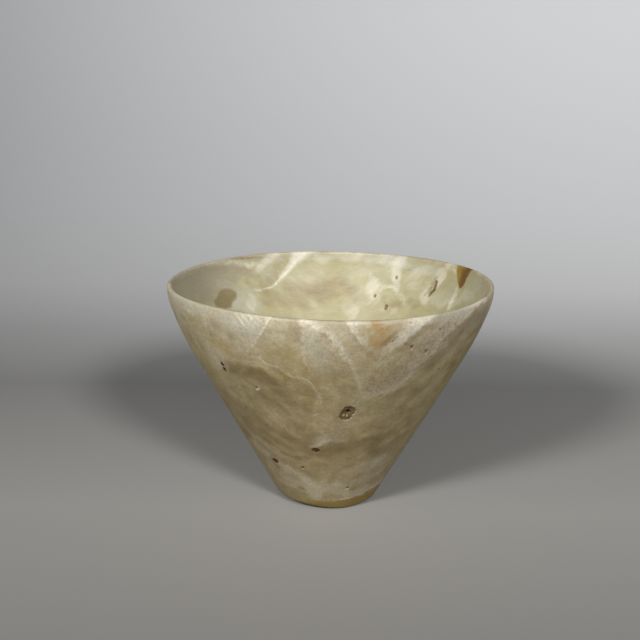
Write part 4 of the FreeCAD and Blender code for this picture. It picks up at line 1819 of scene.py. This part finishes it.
@dataclass
class PitBed:
    """What lies in a group of pits: an uneven bed on each pit's floor, with loose crumbs stuck to it.

    Attributes:
        name: The piece's name.
        node: The CAD node that the piece stands for, and whose sizes it keeps.
        pits: The pits that hold it.
        fill_share: Share of a pit's depth that the bed fills.
        finish: The matter's finish.
        crumbs: How many crumbs lie on a square millimetre.
        hole: How far along the pit a hole lies in the bed, its radius and its depth.
        seed: Seed of the bed's unevenness and of the crumbs.
    """

    name: str
    node: str
    pits: tuple[Pit, ...]
    fill_share: float
    finish: PitMatter
    crumbs: float
    hole: tuple[float, float, float] | None = None
    seed: int = 1
    rings: int = 9
    spokes: int = 40
    squareness: float = 2.5
    unevenness: float = 0.16
    crumb_radius: float = 0.13
    edge_rise: float = 0.22
    skirt: float = 0.5
    sunk: float = 1.04
    hole_edge: Pair = (1.25, 0.55)
    # Where the painted shade in the hole starts and ends, in shares of its radius
    shade_edge: Pair = (1.15, 0.6)

    def build(self, sizes: CupSizes) -> Object:
        """Makes the beds and scatters the crumbs on them.

        Args:
            sizes: The cup's sizes.

        Returns:
            The beds with their crumbs as one plain mesh.
        """
        shape = bmesh.new()
        for number, pit in enumerate(self.pits):
            self.add_bed(shape, pit, sizes, number)
        bmesh.ops.recalc_face_normals(shape, faces=shape.faces)
        mesh = bpy.data.meshes.new(self.name)
        shape.to_mesh(mesh)
        shape.free()
        write_attribute(mesh, "hole_painted_shade", self.hole_painted_shade(points_of(mesh), sizes))
        values = {
            "Crumbs": self.crumbs * METRE**2,
            "Radius": self.crumb_radius * MM,
            "Seed": self.seed,
            "Matter": self.finish.material(),
        }
        bed = put_in_scene(self.name + "_bed", mesh)
        return put_in_scene(self.name, made_by_nodes(bed, crumb_tree(), values, self.name))

    def hole_painted_shade(self, points: np.ndarray, sizes: CupSizes) -> np.ndarray:
        """Paints shade into the hole in the bed.

        Args:
            points: The bed's vertices.
            sizes: The cup's sizes.

        Returns:
            How strongly painted shade darkens each vertex in and round the hole, from 0 to 1.
        """
        if not self.hole:
            return np.zeros(len(points))
        offset, radius, _ = self.hole
        lengthways, crossways, _ = self.pits[0].local(points, sizes).T
        return smoothstep(*self.shade_edge, np.hypot(lengthways - offset, crossways) / radius)

    def add_bed(self, shape: bmesh.types.BMesh, pit: Pit, sizes: CupSizes, number: int) -> None:
        """Adds one pit's bed as a closed body whose underside lies just under the pit's floor.

        Args:
            shape: The mesh that gets the bed.
            pit: The pit.
            sizes: The cup's sizes.
            number: Which of the beds this is.
        """
        to_cup = pit.frame(sizes)
        middle = shape.verts.new(self.bed_point(pit, to_cup, 0.0, 0.0, number))
        angles = [math.tau * spoke / self.spokes for spoke in range(self.spokes)]
        rings = []
        for ring in range(1, self.rings + 1):
            points = (self.bed_point(pit, to_cup, ring / self.rings, angle, number) for angle in angles)
            rings.append([shape.verts.new(point) for point in points])
        down = to_cup.col[2].xyz * pit.depth * self.skirt * MM
        base = [shape.verts.new(vertex.co - down) for vertex in rings[-1]]
        rings.append(base)
        pairs = [(spoke, (spoke + 1) % self.spokes) for spoke in range(self.spokes)]
        for spoke, after in pairs:
            shape.faces.new((middle, rings[0][spoke], rings[0][after]))
            for inner, outer in zip(rings, rings[1:]):
                shape.faces.new((inner[spoke], outer[spoke], outer[after], inner[after]))
        below = shape.verts.new(to_cup @ Vector((0, 0, -pit.depth * self.sunk)) * MM)
        for spoke, after in pairs:
            shape.faces.new((below, base[after], base[spoke]))

    def bed_point(self, pit: Pit, to_cup: Matrix, out: float, angle: float, number: int) -> Vector:
        """Finds a point of a bed's upper face.

        Args:
            pit: The pit that the bed lies in.
            to_cup: The pit's own axes.
            out: 0 at the bed's middle and 1 at its edge.
            angle: The way out from the middle, in radians.
            number: Which of the beds this is.

        Returns:
            The point, in metres.
        """
        power = 2 / self.squareness
        lengthways, crossways = (
            math.copysign(abs(way) ** power, way) * size / 2 * out
            for way, size in ((math.cos(angle), pit.length), (math.sin(angle), pit.width))
        )
        bump = noise.fractal(Vector((lengthways, crossways, 7.3 * number + self.seed)) * 1.7, 1.0, 2.0, 3)
        level = pit.depth * (self.fill_share - 1 + self.unevenness * bump + self.edge_rise * out**3)
        if self.hole:
            offset, radius, depth = self.hole
            away = math.hypot(lengthways - offset, crossways)
            level -= depth * float(smoothstep(*self.hole_edge, away / radius))
        return to_cup @ Vector((lengthways, crossways, level)) * MM


def crumb_tree() -> NodeTree:
    """Makes the Geometry Nodes tree that scatters crumbs on a bed and keeps the bed.

    Returns:
        The tree.
    """
    inputs = {"Bed": "Geometry", "Crumbs": "Float", "Radius": "Float", "Seed": "Int", "Matter": "Material"}
    tree = shaping_tree("scattered_crumbs", inputs, "Filling")
    given = add_node(tree, "NodeGroupInput").outputs
    points = add_node(tree, "GeometryNodeDistributePointsOnFaces", {
        "Mesh": given["Bed"], "Density": given["Crumbs"], "Seed": given["Seed"],
    })
    crumb = add_node(tree, "GeometryNodeMeshIcoSphere", {"Radius": given["Radius"], "Subdivisions": 1})
    turn, size = (
        add_node(tree, "FunctionNodeRandomValue", {
            "Min": least, "Max": most, "Seed": given["Seed"],
        }, data_type="FLOAT_VECTOR")
        for least, most in (
            ((0.0, 0.0, 0.0), (math.tau, math.tau, math.tau)), ((0.35, 0.35, 0.25), (1.4, 1.2, 0.9)),
        )
    )
    placed = add_node(tree, "GeometryNodeInstanceOnPoints", {
        "Points": points.outputs["Points"], "Instance": crumb, "Rotation": turn, "Scale": size,
    })
    joined = add_node(tree, "GeometryNodeJoinGeometry", {"Geometry": placed})
    smooth = add_node(tree, "GeometryNodeSetShadeSmooth", {"Geometry": given["Bed"]})
    tree.links.new(smooth.outputs[0], joined.inputs[0])
    return end_shaping(tree, joined, given["Matter"], "Filling")


@dataclass
class PitGrains:
    """The two pale grains of calcite that sit on the lower half of the flank pit's crust."""

    name: str = "calcite_grains"
    node: str = "flank_pit_grains"
    width: float = 1.1
    length: float = 1.5
    rise: float = 0.5
    gap: float = 0.15
    offset_share: float = -0.22
    roughening: float = 0.14

    def build(self, sizes: CupSizes, bed_top: float) -> Object:
        """Makes the grains.

        Args:
            sizes: The cup's sizes.
            bed_top: How far under the open wall the crust's top lies, in millimetres.

        Returns:
            Both grains as one mesh.
        """
        to_cup = FLANK_PIT.frame(sizes)
        shape = bmesh.new()
        for way in (-1, 1):
            aside = way * (self.width + self.gap) / 2
            middle = Vector((FLANK_PIT.length * self.offset_share, aside, -bed_top))
            ball = bmesh.ops.create_icosphere(shape, subdivisions=3, radius=1.0)
            for vertex in ball["verts"]:
                rough = 1 + self.roughening * noise.noise(vertex.co * 1.9 + Vector((0, 4.0 * way, 0)))
                grown = vertex.co * Vector((self.length / 2, self.width / 2, self.rise))
                vertex.co = to_cup @ (middle + grown * rough) * MM
        for face in shape.faces:
            face.smooth = True
        mesh = bpy.data.meshes.new(self.name)
        shape.to_mesh(mesh)
        shape.free()
        mesh.materials.append(GRAIN.material())
        return put_in_scene(self.name, mesh)


@dataclass(frozen=True)
class Lamp:
    """A soft box: its bearing, its climb over level, how far off and how wide it is, and its watts."""

    name: str
    bearing: float
    climb: float
    distance: float
    width: float
    power: float


@dataclass
class Studio:
    """Pale paper sweep painted with light and shade, two soft boxes in front and even room light."""

    # Painted light and shade on the paper: darker at the front of the floor, brighter up the curve and the
    # wall
    painted_paper_tones: tuple[tuple[float, str], ...] = (
        (-120.0, "#767471"), (-20.0, "#969490"), (120.0, "#979694"), (210.0, "#C3C3C2"), (320.0, "#D5D5D5"),
        (470.0, "#D9DADB"), (650.0, "#DDDFE0"), (900.0, "#E7E9EA"),
    )
    # Painted light: the paper grows brighter towards +X
    painted_light_slope: float = 0.9
    paper_bounce: float = 0.45
    room: str = "#EDEFF2"
    room_light: float = 0.02
    shown_room_light: float = 0.5
    tooth: Pair = (1.2, 0.05)
    floor_front: float = -900.0
    floor_back: float = 210.0
    curve_radius: float = 260.0
    curve_step: float = 12.0
    wall_top: float = 460.0
    half_width: float = 800.0
    aim: float = 45.0
    lamps: tuple[Lamp, ...] = (
        Lamp("soft_box_right", -66.0, 32.5, 1000.0, 180.0, 6.9),
        Lamp("soft_box_left", -125.0, 32.5, 600.0, 108.0, 2.9),
    )

    def build(self) -> Object:
        """Adds the sweep, the lamps and the room light.

        Returns:
            The sweep.
        """
        for lamp in self.lamps:
            self.add_lamp(lamp)
        self.light_room()
        return self.paper_sweep()

    def paper_sweep(self) -> Object:
        """Lays the paper level under the cup and curves it up behind it.

        Returns:
            The sweep.
        """
        centre = complex(self.floor_back, self.curve_radius)
        curve = arc(complex(self.floor_back, 0), centre + self.curve_radius, centre, self.curve_step)
        top = complex(self.floor_back + self.curve_radius, self.wall_top)
        section = [complex(self.floor_front, 0), complex(self.floor_back, 0), *curve, top]
        half = self.half_width
        points = [(side * MM, p.real * MM, p.imag * MM) for p in section for side in (-half, half)]
        faces = [(2 * n, 2 * n + 1, 2 * n + 3, 2 * n + 2) for n in range(len(section) - 1)]
        mesh = bpy.data.meshes.new("paper_sweep")
        mesh.from_pydata(points, [], faces)
        mesh.shade_smooth()
        mesh.materials.append(self.paper_material())
        return put_in_scene("paper_sweep", mesh)

    def paper_material(self) -> Material:
        """Makes the matt pale paper with its faint tooth, painted with light and shade: darker at the front
        of the floor, brighter up the sheet and towards +X.

        Returns:
            The material.
        """
        material = bpy.data.materials.new("matt_backdrop_paper")
        tree = emptied_tree(material)
        place = add_node(tree, "ShaderNodeTexCoord").outputs["Object"]
        sides = add_node(tree, "ShaderNodeSeparateXYZ", {"Vector": place}).outputs
        front, top = self.painted_paper_tones[0][0], self.painted_paper_tones[-1][0]
        up_sheet = worked_out(tree, "MULTIPLY_ADD", sides["Z"], 2.0, sides["Y"])
        tones = add_node(tree, "ShaderNodeValToRGB", {0: stretched(tree, up_sheet, front * MM, top * MM)})
        stops = tones.color_ramp.elements
        for place_up, _ in self.painted_paper_tones[1:-1]:
            stops.new((place_up - front) / (top - front))
        for stop, (_, tone) in zip(stops, self.painted_paper_tones):
            stop.color = linear(tone)
        # Painted light: brighter towards +X
        brighter = worked_out(tree, "MULTIPLY_ADD", sides["X"], self.painted_light_slope, 1.0)
        seen = add_node(tree, "ShaderNodeLightPath").outputs["Is Camera Ray"]
        bounced = stretched(tree, seen, 0.0, 1.0, self.paper_bounce)
        shown = worked_out(tree, "MULTIPLY", brighter, bounced)
        width, depth = self.tooth
        tooth = {"Height": lumps(tree, place, width), "Distance": depth * MM, "Strength": 0.3}
        colour = add_node(tree, "ShaderNodeVectorMath", {0: tones, "Scale": shown}, operation="SCALE")
        end_material(tree, {
            "Base Color": colour,
            "Roughness": 0.85,
            "Normal": add_node(tree, "ShaderNodeBump", tooth),
            "Specular IOR Level": 0.2,
        })
        return material

    def add_lamp(self, lamp: Lamp) -> None:
        """Hangs one soft box so that it faces the middle of the cup.

        Args:
            lamp: The soft box.
        """
        data = bpy.data.lights.new(lamp.name, "AREA")
        data.shape = "SQUARE"
        data.size = lamp.width * MM
        data.energy = lamp.power
        bearing, climb = math.radians(lamp.bearing), math.radians(lamp.climb)
        level = math.cos(climb)
        way = Vector((math.cos(bearing) * level, math.sin(bearing) * level, math.sin(climb)))
        light = put_in_scene(lamp.name, data)
        light.location = (way * lamp.distance + Vector((0, 0, self.aim))) * MM
        light.rotation_euler = way.to_track_quat("Z", "Y").to_euler()

    def light_room(self) -> None:
        """Lights the room evenly, and shows it pale where one looks past the paper."""
        world = bpy.data.worlds.new("even_room_light")
        bpy.context.scene.world = world
        tree = emptied_tree(world)
        path = add_node(tree, "ShaderNodeLightPath").outputs
        seen = worked_out(tree, "ADD", path["Is Camera Ray"], path["Is Glossy Ray"])
        shown = worked_out(tree, "MAXIMUM", seen, path["Is Transmission Ray"])
        background = add_node(tree, "ShaderNodeBackground", {
            "Color": linear(self.room),
            "Strength": stretched(tree, shown, 0.0, 1.0, self.room_light, self.shown_room_light),
        })
        add_node(tree, "ShaderNodeOutputWorld", {"Surface": background})


def main() -> None:
    """Builds the cup, what lies in its pits, the studio and the camera, and joins them to the frame."""
    logging.basicConfig(level=logging.INFO, format="%(message)s")
    low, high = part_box("vessel")
    sizes = CupSizes(rim_radius=(high.x - low.x) / 2 * METRE, height=high.z * METRE)
    view = PhotoView()
    view.build()
    cup = StoneCup(sizes, view).build(Travertine())
    hole = (0.5, 0.8, 0.8)
    crust_bed = PitBed("pit_crust", "flank_pit_crust", (FLANK_PIT,), 0.62, CRUST, 3.0, hole, seed=3)
    earth_bed = PitBed("packed_earth", "pit_earth", SHOULDER_PITS + LOW_PITS, 0.55, EARTH, 5.0, seed=5)
    crust = crust_bed.build(sizes)
    earth = earth_bed.build(sizes)
    grains = PitGrains().build(sizes, FLANK_PIT.depth * (1 - crust_bed.fill_share))
    for piece, node, slot in (
        (cup, "vessel", "travertine"),
        (crust, crust_bed.node, "pit_crust"),
        (grains, PitGrains.node, "pit_grains"),
        (earth, earth_bed.node, "pit_earth"),
    ):
        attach(piece, "root")
        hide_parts(node)
        log.info("%s: %d faces, stands for %s", piece.name, len(piece.data.polygons), node)
    Studio().build()
    bpy.context.scene.view_settings.view_transform = "Standard"


if __name__ == "__main__":
    main()
